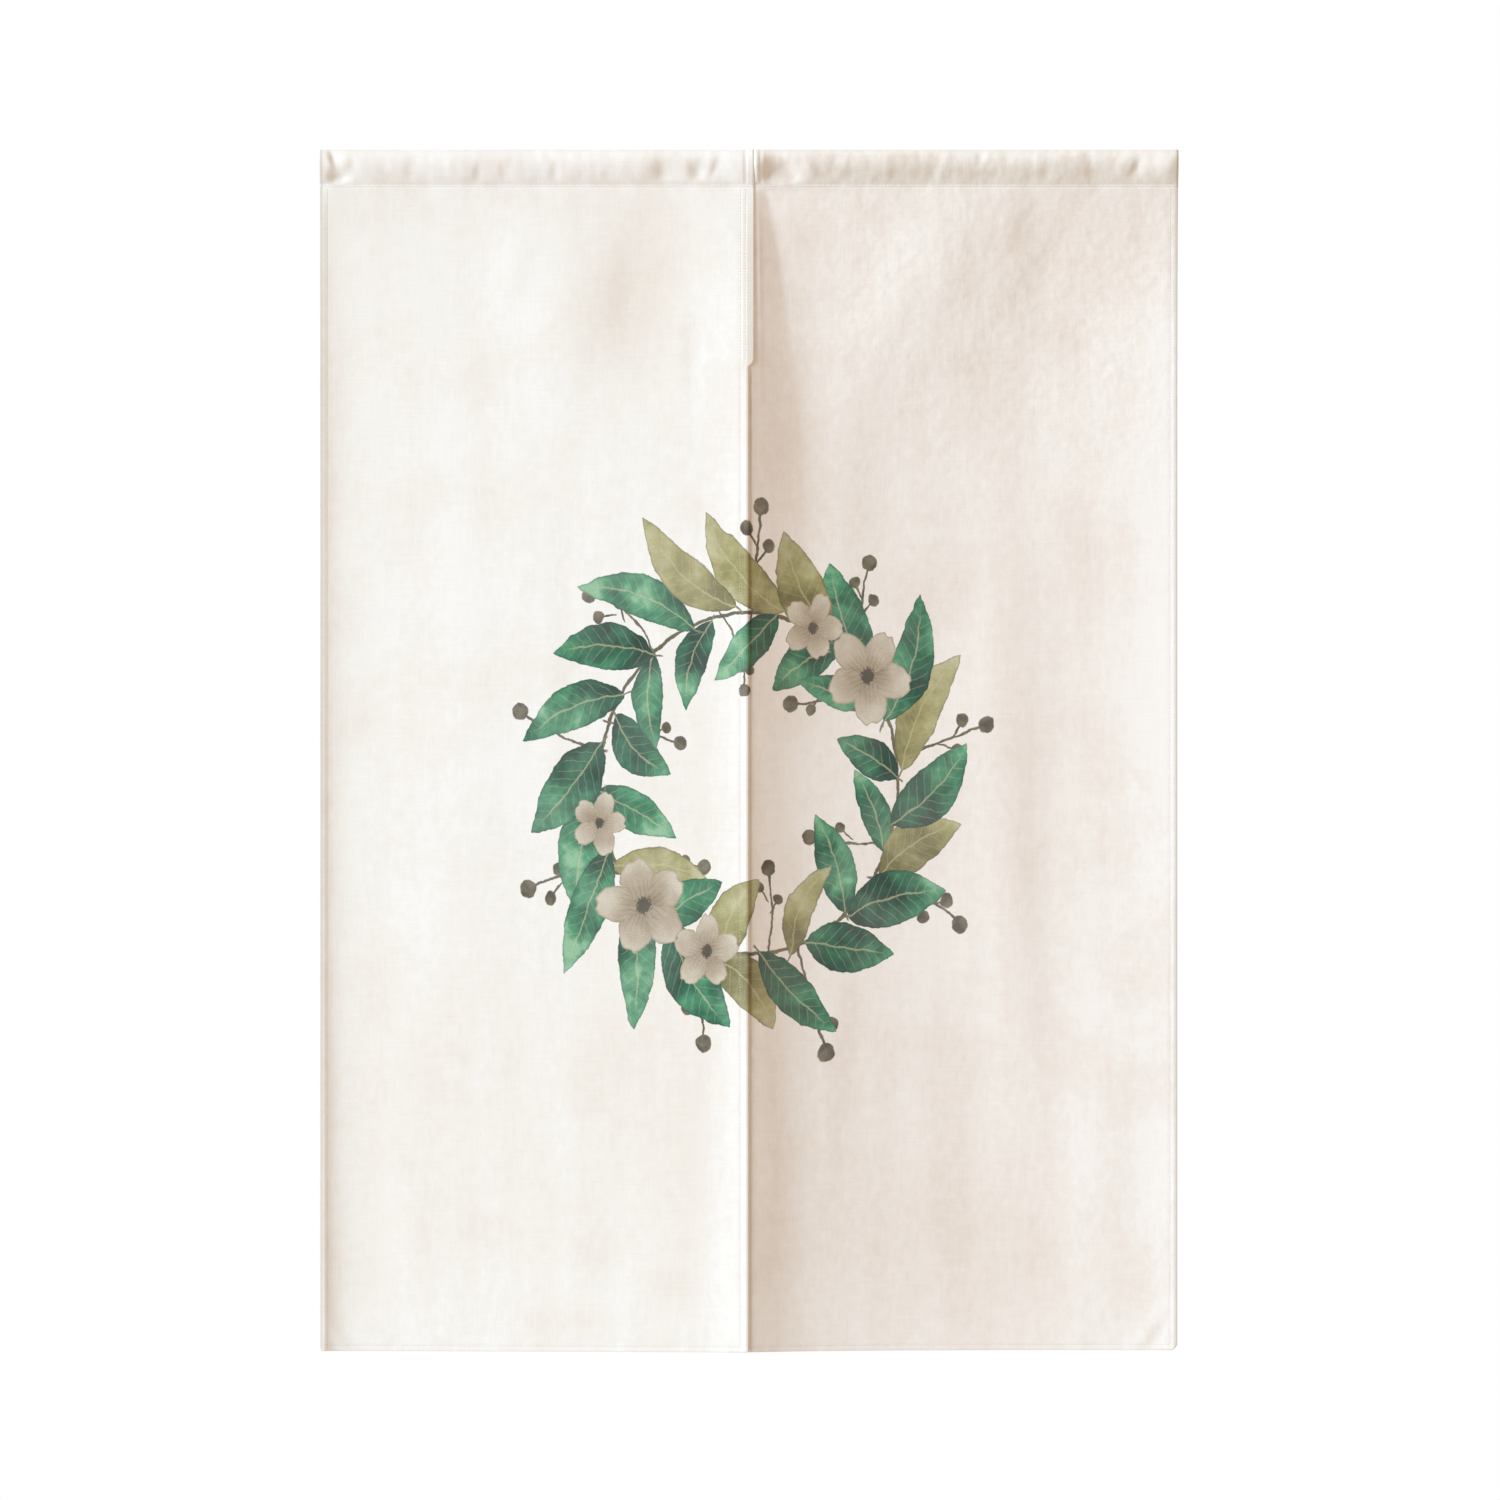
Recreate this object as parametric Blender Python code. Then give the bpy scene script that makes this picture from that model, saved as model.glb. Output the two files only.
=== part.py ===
"""A split doorway curtain of cotton and linen, hung by a rod sleeve along its top.

Two panels hang side by side. The left one laps over the right one and is sewn to it down to
the top of the slit. Below that they hang free. The cloth stands out in a ridge at the slit and
falls back to both sides. Metres, +Z up, +X to the right, and the front faces -Y. The origin is
the middle of the top edge.
"""

import math

import bmesh
import bpy
from mathutils import Matrix, Vector

# Driving dimensions
CURTAIN_WIDTH = 0.850
CURTAIN_HEIGHT = 1.190
SLEEVE_HEIGHT = 0.037
SEAM_LENGTH = 0.215        # from the top edge down to the top of the slit
CLOTH = 0.0012             # one layer
GAP = 0.0003               # between touching pieces

# Hems are turned to the back, so they add a layer there
SIDE_HEM = 0.010
LEFT_INNER_HEM = 0.009
RIGHT_INNER_HEM = 0.010
BOTTOM_HEM = 0.006
HEM_LAYER = 0.0012

# Where the left panel's inner edge lies, at the top, at the slit's top and below it
SEAM_EDGE_TOP = 0.0050
SEAM_EDGE_LOW = 0.0048
SLIT_EDGE = -0.0003
RIGHT_PANEL_EDGE = -0.0070     # the right panel runs on behind the left one
SLIT_STANDOFF = 0.0003         # how much further the right panel lies back along the slit
STANDOFF_RUN = 0.060           # the slit opens over this length
LAP_FADE = 0.060

# The ridge at the slit, towards the viewer
CREST_X = -0.0025
LEFT_RISE = 0.024              # even rise from the left edge
LEFT_LIP = 0.0039              # steeper rise close to the slit
LEFT_LIP_RUN = 0.040
RIGHT_FALL = 0.038             # long fall to the right of the crest
RIGHT_FALL_RUN = 0.150
RIGHT_BEND = 0.0031            # steepens the fall as far as a soft bend, so that it is a facet
RIGHT_BEND_FROM_CREST = 0.026
RIGHT_BEND_RUN = 0.028
RIDGE_ONSET = 0.120            # how soon the ridge grows below the sleeve
CREASE_ONSET = 0.045
SET_BACK = 0.0125              # the cloth swings back by this, so that it hangs under its rod

# Both outer edges turn a little towards the viewer, the left one more so at its foot
LEFT_CURL = 0.0042
LEFT_CURL_AT_FOOT = 0.0030
LEFT_CURL_RUN = 0.024
RIGHT_CURL = 0.0080
RIGHT_CURL_RUN = 0.070

# Soft folds: centre across and up, lean from upright in degrees, half length, half width, height
FOLDS = (
    # x,      z,      lean, half_length, half_width, height
    (0.178, -0.130, 24.0, 0.105, 0.054, 0.0042),
    (0.318, -0.150, 16.0, 0.125, 0.058, -0.0028),
    (0.095, -0.340, 4.0, 0.130, 0.032, 0.0015),
    (0.262, -0.640, -2.0, 0.260, 0.040, 0.0028),
    (-0.190, -0.130, -6.0, 0.110, 0.050, 0.0028),
    (-0.085, -0.155, 8.0, 0.090, 0.038, -0.0015),
    (-0.290, -0.700, 3.0, 0.280, 0.060, 0.0016),
    (0.345, -0.980, 6.0, 0.180, 0.045, 0.0016),
)

# The rod sleeve: a pocket that is round at its top and closes to a stitched line
SLEEVE_OUTER_DEPTH = 0.0118
SLEEVE_INNER_DEPTH = 0.0102
SLEEVE_TOP_WALL = 0.0015
SLEEVE_SEAM_HEIGHT = 0.0045
SLEEVE_SEAM_HALF = 0.0011
SLEEVE_RIPPLE = 0.0003
RIPPLE_PITCH = 0.145

# How finely the solids are divided
PANEL_COLUMNS = 19
PANEL_ROWS = 27
COLUMN_EASE = 1.60             # above 1, the columns are closest at the slit
ROW_EASE = 1.25                # above 1, the rows are closest at the top
SLEEVE_SIDES = 16              # four times a whole number, so that the bottom is a level line
SLEEVE_STEPS = 16
INNER_MARK = 0.5               # tells the inside of the straight tube from its outside
LINE_CLEARANCE = 0.006         # as a share of the panel's width or height
SHARP_ANGLE = math.radians(40.0)

PANEL_COLOUR = (0.86, 0.83, 0.78)
HEADING_COLOUR = (0.84, 0.80, 0.74)
CLOTH_ROUGHNESS = 0.92


def clear_scene():
    for old in list(bpy.data.objects):
        bpy.data.objects.remove(old, do_unlink=True)


def growth(z, onset):
    """0 at the sleeve's stitched line, and close to 1 a few onsets below it."""
    below_sleeve = max(-z - SLEEVE_HEIGHT, 0.0)
    return 1.0 - math.exp(-below_sleeve / onset)


def rising_side(x, z):
    """The left side of the ridge, which rises towards the crest."""
    to_crest = CREST_X - x
    across = to_crest / (CREST_X + CURTAIN_WIDTH / 2)
    rise = LEFT_RISE * (1.0 - across) + LEFT_LIP * math.erfc(to_crest / LEFT_LIP_RUN)
    return (rise - SET_BACK) * growth(z, RIDGE_ONSET)


def falling_side(x, z):
    """The right side of the ridge, which falls away from the crest."""
    from_crest = x - CREST_X
    fall = RIGHT_FALL * (1.0 - math.exp(-from_crest / RIGHT_FALL_RUN))
    past_bend = (from_crest - RIGHT_BEND_FROM_CREST) / RIGHT_BEND_RUN
    at_crest = -RIGHT_BEND_FROM_CREST / RIGHT_BEND_RUN
    bend = RIGHT_BEND * (math.tanh(past_bend) - math.tanh(at_crest))
    depth = (LEFT_RISE + LEFT_LIP - fall - SET_BACK) * growth(z, RIDGE_ONSET)
    return depth - bend * growth(z, CREASE_ONSET)


def edge_curl(x, z):
    """How far the outer edges turn towards the viewer."""
    from_left = x + CURTAIN_WIDTH / 2
    from_right = CURTAIN_WIDTH / 2 - x
    left_curl = LEFT_CURL + LEFT_CURL_AT_FOOT * (z / CURTAIN_HEIGHT) ** 2
    curl = left_curl * math.exp(-from_left / LEFT_CURL_RUN)
    curl += RIGHT_CURL * math.exp(-from_right / RIGHT_CURL_RUN)
    return curl * growth(z, RIDGE_ONSET)


def soft_folds(x, z):
    """The sum of the soft folds of the table."""
    depth = 0.0
    for fold_x, fold_z, lean, half_length, half_width, height in FOLDS:
        turn = math.radians(lean)
        along = (x - fold_x) * math.sin(turn) + (z - fold_z) * math.cos(turn)
        across = (x - fold_x) * math.cos(turn) - (z - fold_z) * math.sin(turn)
        depth += height * math.exp(-(along / half_length) ** 2 - (across / half_width) ** 2)
    return depth * growth(z, CREASE_ONSET)


def left_depth(x, z):
    """How far the left panel stands towards the viewer. It rises as far as its own edge."""
    return rising_side(x, z) + edge_curl(x, z) + soft_folds(x, z)


def right_depth(x, z):
    """How far the right panel would stand out if it lay level with the left one."""
    ridge = rising_side(x, z) if x < CREST_X else falling_side(x, z)
    return ridge + edge_curl(x, z) + soft_folds(x, z)


def left_inner_edge(z):
    """The left panel's edge: slanted along the seam, and upright along the slit."""
    if -z >= SEAM_LENGTH:
        return SLIT_EDGE
    down = -z / SEAM_LENGTH
    return SEAM_EDGE_TOP + (SEAM_EDGE_LOW - SEAM_EDGE_TOP) * down


def right_inner_edge(z):
    """The right panel's edge, which is straight and hidden behind the left panel."""
    return RIGHT_PANEL_EDGE


def no_lap(x, z):
    return 0.0


def behind_left_panel(x, z):
    """How far the right panel lies back, so that the left one and its hem pass in front."""
    below_seam = max(-z - SEAM_LENGTH, 0.0)
    step = CLOTH + HEM_LAYER + GAP
    step += SLIT_STANDOFF * (1.0 - math.exp(-below_seam / STANDOFF_RUN))
    past_lap = max(x - CREST_X, 0.0)
    return step * math.exp(-past_lap / LAP_FADE)


def eased(count, ease):
    """Places from 0 to 1, closest together near 0 when ease is above 1."""
    return [(step / count) ** ease for step in range(count + 1)]


def with_lines(places, lines, clear):
    """The places with extra lines, which stand in for inner places closer than clear."""
    kept = [place for place in places[1:-1]
            if all(abs(place - line) > clear for line in lines)]
    return sorted([places[0], places[-1], *kept, *lines])


def add_object(name, bm, colour):
    """Turn a closed bmesh into a named object with a material of its own."""
    bmesh.ops.recalc_face_normals(bm, faces=bm.faces[:])
    if bm.calc_volume(signed=True) < 0.0:
        bmesh.ops.reverse_faces(bm, faces=bm.faces[:])
    mesh = bpy.data.meshes.new(name)
    bm.to_mesh(mesh)
    bm.free()
    mesh.shade_smooth()
    mesh.set_sharp_from_angle(angle=SHARP_ANGLE)
    material = bpy.data.materials.new(name + "_cloth")
    material.use_nodes = True
    shader = material.node_tree.nodes["Principled BSDF"]
    shader.inputs["Base Color"].default_value = (*colour, 1.0)
    shader.inputs["Roughness"].default_value = CLOTH_ROUGHNESS
    shader.inputs["Metallic"].default_value = 0.0
    mesh.materials.append(material)
    new_object = bpy.data.objects.new(name, mesh)
    bpy.context.scene.collection.objects.link(new_object)
    return new_object


def new_verts(result):
    """The vertices that an extrusion made."""
    return [item for item in result["geom"] if isinstance(item, bmesh.types.BMVert)]


def new_faces(result):
    """The faces that an extrusion made."""
    return [item for item in result["geom"] if isinstance(item, bmesh.types.BMFace)]


def hung_panel(name, outer_x, inner_edge, inner_lines, depth, lap):
    """One panel: a sheet with its sides and bottom hemmed to the back, set into its folds.

    It starts flat. X runs across it from the slit (0) to the outer edge (1), and Z down it
    from the sleeve (0) to the bottom (1). inner_lines are the distances from the inner edge
    of lines that the grid has to follow, and the last of them is where the inner hem ends.
    """
    width = CURTAIN_WIDTH / 2
    height = CURTAIN_HEIGHT - SLEEVE_HEIGHT - GAP
    hem_lines = (inner_lines[-1] / width, 1.0 - SIDE_HEM / width)
    bottom_line = 1.0 - BOTTOM_HEM / height
    seam_line = (SEAM_LENGTH - SLEEVE_HEIGHT - GAP) / height
    lines = [line / width for line in inner_lines] + [hem_lines[1]]
    columns = with_lines(eased(PANEL_COLUMNS, COLUMN_EASE), lines, LINE_CLEARANCE)
    rows = with_lines(eased(PANEL_ROWS, ROW_EASE), (seam_line, bottom_line), LINE_CLEARANCE)

    bm = bmesh.new()
    last_column = len(columns) - 1
    last_row = len(rows) - 1
    bmesh.ops.create_grid(bm, x_segments=last_column, y_segments=last_row, size=1.0)
    for vert in bm.verts:
        column = round((vert.co.x + 1.0) / 2.0 * last_column)
        row = round((vert.co.y + 1.0) / 2.0 * last_row)
        vert.co = (columns[column], 0.0, rows[row])
    back = bmesh.ops.extrude_face_region(bm, geom=bm.faces[:])
    bmesh.ops.translate(bm, verts=new_verts(back), vec=Vector((0.0, CLOTH, 0.0)))

    hem_faces = []
    for face in new_faces(back):
        across, layer, down = face.calc_center_median()
        in_side_hem = not hem_lines[0] < across < hem_lines[1]
        if layer > CLOTH * 0.99 and (in_side_hem or down > bottom_line):
            hem_faces.append(face)
    hem_edges = list({edge for face in hem_faces for edge in face.edges})
    hem = bmesh.ops.extrude_face_region(bm, geom=hem_faces + hem_edges)
    bmesh.ops.translate(bm, verts=new_verts(hem), vec=Vector((0.0, HEM_LAYER, 0.0)))

    for vert in bm.verts:
        across, layer, down = vert.co
        z = -(SLEEVE_HEIGHT + GAP + height * down)
        inner_x = inner_edge(z)
        x = inner_x + (outer_x - inner_x) * across
        vert.co = (x, layer + lap(x, z) - depth(x, z), z)
    return add_object(name, bm, PANEL_COLOUR)


def flat_ring(bm):
    """A flat ring across X, of radius 1 outside and INNER_MARK inside. Returns its faces."""
    half_side = Matrix.Rotation(math.pi / SLEEVE_SIDES, 4, "Z")
    facing_x = Matrix.Rotation(math.pi / 2, 4, "Y") @ half_side
    outer = bmesh.ops.create_circle(bm, segments=SLEEVE_SIDES, radius=1.0, matrix=facing_x)
    outer_edges = list({edge for vert in outer["verts"] for edge in vert.link_edges})
    inner = bmesh.ops.extrude_edge_only(bm, edges=outer_edges)
    shrink = Vector((1.0, INNER_MARK, INNER_MARK))
    bmesh.ops.scale(bm, verts=new_verts(inner), vec=shrink)
    return bm.faces[:]


def pocket_point(along, side, up, low_x, high_x):
    """Where a point of the straight round tube goes: onto the sleeve's outside or inside."""
    outside = math.hypot(side, up) > (1.0 + INNER_MARK) / 2
    depth = SLEEVE_OUTER_DEPTH if outside else SLEEVE_INNER_DEPTH
    top_z = 0.0 if outside else -SLEEVE_TOP_WALL
    bottom_z = -SLEEVE_HEIGHT if outside else SLEEVE_SEAM_HEIGHT - SLEEVE_HEIGHT
    x = low_x + (high_x - low_x) * along
    from_bottom = math.atan2(abs(side), -up)
    swell = depth * math.sin(from_bottom) * math.sin(from_bottom / 2)
    swell = math.copysign(max(swell, SLEEVE_SEAM_HALF), side)
    wave = SLEEVE_RIPPLE * math.sin(from_bottom) * math.sin(math.tau * x / RIPPLE_PITCH)
    half_height = (top_z - bottom_z) / 2 / math.cos(math.pi / SLEEVE_SIDES)
    z = (top_z + bottom_z) / 2 - half_height * math.cos(from_bottom)
    return Vector((x, CLOTH / 2 + swell + wave, z))


def rod_sleeve(name, low_x, high_x):
    """One panel's share of the rod pocket, open at both ends.

    It is round at its top and drawn to a line at its bottom, where it is stitched.
    """
    bm = bmesh.new()
    section = flat_ring(bm)
    for step in range(SLEEVE_STEPS):
        # From the second step on, the faces that are extruded leave nothing behind
        inner_edges = list({edge for face in section for edge in face.edges}) if step else []
        grown = bmesh.ops.extrude_face_region(bm, geom=section + inner_edges)
        bmesh.ops.translate(bm, verts=new_verts(grown), vec=Vector((1.0 / SLEEVE_STEPS, 0.0, 0.0)))
        section = new_faces(grown)
    for vert in bm.verts:
        vert.co = pocket_point(*vert.co, low_x, high_x)
    return add_object(name, bm, HEADING_COLOUR)


def main():
    clear_scene()
    half_width = CURTAIN_WIDTH / 2
    crest_line = CREST_X - RIGHT_PANEL_EDGE
    hung_panel("left_panel", -half_width, left_inner_edge, (LEFT_INNER_HEM,), left_depth, no_lap)
    hung_panel("right_panel", half_width, right_inner_edge, (crest_line, RIGHT_INNER_HEM),
               right_depth, behind_left_panel)
    rod_sleeve("left_heading", -half_width, SEAM_EDGE_TOP)
    rod_sleeve("right_heading", SEAM_EDGE_TOP + GAP, half_width)


main()
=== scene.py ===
# %% [markdown]
# # A split doorway curtain
# The real thing is two widths of off-white cotton and linen, sewn together for a short way
# below a rod sleeve and open from there down. One print runs across both widths.
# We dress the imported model: the solids give every size, and each piece here lies on the
# folds of the solid that it stands for.

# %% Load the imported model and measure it
import math

import bmesh
import bpy
from mathutils import Matrix, Vector, noise


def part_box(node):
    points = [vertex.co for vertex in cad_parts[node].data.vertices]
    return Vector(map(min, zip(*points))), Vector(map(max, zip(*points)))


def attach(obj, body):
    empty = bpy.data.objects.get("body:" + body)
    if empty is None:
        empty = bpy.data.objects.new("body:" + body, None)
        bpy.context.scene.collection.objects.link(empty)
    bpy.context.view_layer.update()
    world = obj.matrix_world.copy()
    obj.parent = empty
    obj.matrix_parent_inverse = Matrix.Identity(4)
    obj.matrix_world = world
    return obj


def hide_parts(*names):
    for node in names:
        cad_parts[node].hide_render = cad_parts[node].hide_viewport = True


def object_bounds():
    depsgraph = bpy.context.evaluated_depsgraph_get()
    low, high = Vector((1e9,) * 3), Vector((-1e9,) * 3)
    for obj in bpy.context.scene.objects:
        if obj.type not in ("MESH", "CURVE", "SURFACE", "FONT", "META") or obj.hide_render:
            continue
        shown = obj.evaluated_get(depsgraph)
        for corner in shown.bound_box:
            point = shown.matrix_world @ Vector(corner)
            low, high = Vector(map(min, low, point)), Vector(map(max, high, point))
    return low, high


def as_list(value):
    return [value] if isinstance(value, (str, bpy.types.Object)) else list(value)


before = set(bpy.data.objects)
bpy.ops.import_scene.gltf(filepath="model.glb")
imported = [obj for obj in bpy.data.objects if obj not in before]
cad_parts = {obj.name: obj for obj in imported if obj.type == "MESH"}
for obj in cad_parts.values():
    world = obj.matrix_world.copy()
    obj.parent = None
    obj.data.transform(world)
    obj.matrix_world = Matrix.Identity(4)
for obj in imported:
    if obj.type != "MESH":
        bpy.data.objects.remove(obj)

cad_low, cad_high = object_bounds()
WIDTH = cad_high.x - cad_low.x
HEIGHT = cad_high.z - cad_low.z
SLEEVE_HEIGHT = cad_high.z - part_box("left_heading")[0].z
print("curtain", round(WIDTH, 3), "x", round(HEIGHT, 3), "m, sleeve", round(SLEEVE_HEIGHT, 4))

# %% [markdown]
# ## The camera
# The photograph looks straight at the cloth, with all its edges parallel, so it was taken
# from far away with a long lens. A flat, parallel camera would do too, but a real lens keeps
# the little perspective that depth gives. We choose the lens and let the width that the
# picture spans at the cloth give the distance.

# %% Camera
LENS_MM = 200.0
SENSOR_MM = 36.0
PICTURE_SPAN = 1.485  # metres across the picture, at the cloth
AIM = Vector((0.0012, 0.0, -0.5945))

distance = PICTURE_SPAN * LENS_MM / SENSOR_MM
camera_data = bpy.data.cameras.new("camera")
camera_data.lens = LENS_MM
camera_data.sensor_width = SENSOR_MM
camera = bpy.data.objects.new("camera", camera_data)
camera.location = AIM + Vector((0.0, -distance, 0.0))
camera.rotation_euler = (math.pi / 2, 0.0, 0.0)
bpy.context.scene.collection.objects.link(camera)
bpy.context.scene.camera = camera
print("camera is", round(distance, 2), "m in front of the cloth")

# %% [markdown]
# ## Helpers for node trees
# Every finish below is worked out by nodes. Written one by one they fill pages, so we wrap a
# node's output in a small class, a wire. A sum with a wire adds a Math node to its tree, and
# a finish then reads as a formula. A few helpers make the other kinds of node.

# %% Wires and sums
class Wire:
    """One output of a node, and its tree."""

    def __init__(self, tree, socket):
        self.tree = tree
        self.socket = socket

    def __abs__(self):
        return maths("ABSOLUTE", self)


def feed(socket, value):
    """Link a wire to an input, or set the input to a plain value."""
    if isinstance(value, Wire):
        value.tree.links.new(value.socket, socket)
    else:
        socket.default_value = value


def node(kind, inputs, output=0, tree=None, **settings):
    """A new node's output. inputs go by name or number, and settings are the node's own. It
    joins the tree of its first wire, unless a tree is given."""
    tree = tree or next(value.tree for value in inputs.values() if isinstance(value, Wire))
    made = tree.nodes.new("ShaderNode" + kind)
    for name, value in settings.items():
        setattr(made, name, value)
    for label, value in inputs.items():
        feed(made.inputs[label], value)
    return Wire(tree, made.outputs[output])


def maths(operation, *values):
    """The result of a Math node, or of a Vector Math node where one value is a vector."""
    vector = any(isinstance(value, Wire) and value.socket.type == "VECTOR" for value in values)
    output = 1 if operation in ("LENGTH", "DISTANCE") else 0
    kind = "VectorMath" if vector else "Math"
    return node(kind, dict(enumerate(values)), output, operation=operation)


def both_ways(operation):
    """A sum as Python calls it: with the wire as its first value, and as its last."""
    return (lambda wire, other: maths(operation, wire, other),
            lambda wire, other: maths(operation, other, wire))


for symbol, operation in (("add", "ADD"), ("sub", "SUBTRACT"), ("mul", "MULTIPLY"),
                          ("truediv", "DIVIDE"), ("pow", "POWER")):
    wire_first, wire_last = both_ways(operation)
    setattr(Wire, f"__{symbol}__", wire_first)
    setattr(Wire, f"__r{symbol}__", wire_last)
print("sums with wires make nodes")


# %% More kinds of node
def vector_of(x, y, z=0.0):
    """A vector from three numbers or wires."""
    return node("CombineXYZ", dict(enumerate((x, y, z))))


def parts_of(vector):
    """The three parts of a vector or colour."""
    first = node("SeparateXYZ", {0: vector})
    return [Wire(first.tree, output) for output in first.socket.node.outputs]


def turned(vector, angle):
    """The vector turned about Z by an angle in radians."""
    return node("VectorRotate", {"Vector": vector, "Angle": angle}, rotation_type="Z_AXIS")


def ease(value, low, high):
    """0 below low, 1 above high and smooth between. High may be the smaller one."""
    far_ends = (0.0, 1.0) if low < high else (1.0, 0.0)
    return node("MapRange", {"Value": value, "From Min": min(low, high), "From Max": max(low, high),
                             "To Min": far_ends[0], "To Max": far_ends[1]},
                interpolation_type="SMOOTHSTEP")


def between(number, low, high):
    """A number from 0 to 1 spread from low to high."""
    return maths("MULTIPLY_ADD", number, high - low, low)


def cloudy(place, scale, detail=2.0, roughness=0.5):
    """A noise texture's value, about 0.5 on average."""
    return node("TexNoise", {"Vector": place, "Scale": scale, "Detail": detail,
                             "Roughness": roughness})


def blend(share, first, second, kind="MIX"):
    """Two colours mixed by a share from 0 to 1."""
    return node("Mix", {0: share, 6: first, 7: second}, 2, data_type="RGBA", blend_type=kind)


def ramp(value, stops):
    """Colours along a ramp, given as rows of place and colour."""
    colour = node("ValToRGB", {0: value})
    elements = colour.socket.node.color_ramp.elements
    while len(elements) < len(stops):
        elements.new(0.5)
    for element, (place, stop_colour) in zip(elements, stops):
        element.position = place
        element.color = stop_colour
    return colour


def screen(red, green, blue):
    """A colour as a screen shows it, 0 to 255, in the linear numbers that shaders use."""
    channels = [channel / 255 for channel in (red, green, blue)]
    linear = [c / 12.92 if c <= 0.04045 else ((c + 0.055) / 1.055) ** 2.4 for c in channels]
    return (*linear, 1.0)


# %% Groups of nodes
def open_group(name, *numbers):
    """A new node group that takes a place and some named numbers. Returns a wire for each."""
    tree = bpy.data.node_groups.new(name, "ShaderNodeTree")
    tree.interface.new_socket("Place", in_out="INPUT", socket_type="NodeSocketVector")
    for label in numbers:
        tree.interface.new_socket(label, in_out="INPUT", socket_type="NodeSocketFloat")
    given = tree.nodes.new("NodeGroupInput").outputs
    return [Wire(tree, socket) for socket in given[:1 + len(numbers)]]


def close_group(**results):
    """Send wires out of their group, each under its name. Returns the group."""
    tree = next(iter(results.values())).tree
    for label, wire in results.items():
        kind = "NodeSocketColor" if wire.socket.type == "RGBA" else "NodeSocketFloat"
        tree.interface.new_socket(label, in_out="OUTPUT", socket_type=kind)
    end = tree.nodes.new("NodeGroupOutput")
    for label, wire in results.items():
        feed(end.inputs[label], wire)
    print(tree.name, "has", len(tree.nodes), "nodes")
    return tree


def use_group(group, place, *numbers):
    """A group's results, for a place and the numbers that it takes."""
    made = place.tree.nodes.new("ShaderNodeGroup")
    made.node_tree = group
    for socket, value in zip(made.inputs, (place, *numbers)):
        feed(socket, value)
    return [Wire(place.tree, socket) for socket in made.outputs]


# %% [markdown]
# ## The folds
# A curtain's folds run through all its pieces, so one function gives them all: how far the
# front of the cloth stands towards the viewer at any place. The large folds are those of the
# solids, from the same sizes. The cloth stands out in a ridge at the slit, as it was pressed
# there, and soft folds fall from the sleeve. A cloth simulation could make folds too, but not
# these ones, so they are placed one by one.

# %% Cloth, seam and slit
SHEET = 0.00044  # thickness of the cloth as it is shown
TURN = 0.00026  # radius of the middle of the cloth where a hem turns
CLOTH = 0.0012  # one layer of the solids
GAP = 0.0003
SEAM_LENGTH = 0.215  # from the top edge down to the top of the slit
SEAM_EDGE_TOP = 0.0050
SEAM_EDGE_LOW = 0.0048
SEAM_TAPER = 0.0075  # the seam's edge is drawn in over this length at its foot
SEAM_LINE = 0.0083  # from the seam's edge to the row that sews the panels together
SLIT_EDGE = -0.0003
RIGHT_PANEL_EDGE = -0.0070


def seam_edge(z):
    """The left panel's edge along the seam, a little slanted."""
    return SEAM_EDGE_TOP + (SEAM_EDGE_LOW - SEAM_EDGE_TOP) * (-z / SEAM_LENGTH)


def left_inner_edge(z):
    """The left panel's edge: slanted along the seam, drawn in at its foot, and then upright."""
    if -z >= SEAM_LENGTH:
        return SLIT_EDGE
    drawn_in = max(SEAM_TAPER - SEAM_LENGTH - z, 0.0) / SEAM_TAPER
    return seam_edge(z) - (SEAM_EDGE_LOW - SLIT_EDGE) * drawn_in ** 2


def right_inner_edge(z):
    """The right panel's edge, straight and hidden behind the left panel."""
    return RIGHT_PANEL_EDGE


def seam_row_x(z):
    """The row that sews the panels together. It runs on straight where the edge is drawn in."""
    return seam_edge(z) - SEAM_LINE


print("the sewn strip is", round((SEAM_EDGE_TOP - RIGHT_PANEL_EDGE) * 1000, 1), "mm wide")

# %% The ridge, the same as the solids'
CREST_X = -0.0025
LEFT_RISE = 0.024
LEFT_LIP = 0.0039
LEFT_LIP_RUN = 0.040
RIGHT_FALL = 0.038
RIGHT_FALL_RUN = 0.150
RIGHT_BEND = 0.0031
RIGHT_BEND_FROM_CREST = 0.026
RIGHT_BEND_RUN = 0.028
SET_BACK = 0.0125
RIDGE_ONSET = 0.120
CREASE_ONSET = 0.045


def smooth(value):
    """0 to 1, with soft ends."""
    value = min(max(value, 0.0), 1.0)
    return value * value * (3.0 - 2.0 * value)


def growth(z, onset):
    """0 at the sleeve's stitched line, and close to 1 a few onsets below it."""
    below_sleeve = max(-z - SLEEVE_HEIGHT, 0.0)
    return 1.0 - math.exp(-below_sleeve / onset)


def rising_side(x, z):
    """The left side of the ridge, which rises towards the crest."""
    to_crest = CREST_X - x
    across = to_crest / (CREST_X + WIDTH / 2)
    rise = LEFT_RISE * (1.0 - across) + LEFT_LIP * math.erfc(to_crest / LEFT_LIP_RUN)
    return (rise - SET_BACK) * growth(z, RIDGE_ONSET)


def falling_side(x, z):
    """The right side of the ridge, which falls away from the crest."""
    from_crest = x - CREST_X
    fall = RIGHT_FALL * (1.0 - math.exp(-from_crest / RIGHT_FALL_RUN))
    past_bend = (from_crest - RIGHT_BEND_FROM_CREST) / RIGHT_BEND_RUN
    at_crest = -RIGHT_BEND_FROM_CREST / RIGHT_BEND_RUN
    bend = RIGHT_BEND * (math.tanh(past_bend) - math.tanh(at_crest))
    depth = (LEFT_RISE + LEFT_LIP - fall - SET_BACK) * growth(z, RIDGE_ONSET)
    return depth - bend * growth(z, CREASE_ONSET)


print("the ridge stands", round(rising_side(CREST_X, -HEIGHT / 2) * 1000, 1), "mm out")

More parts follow.
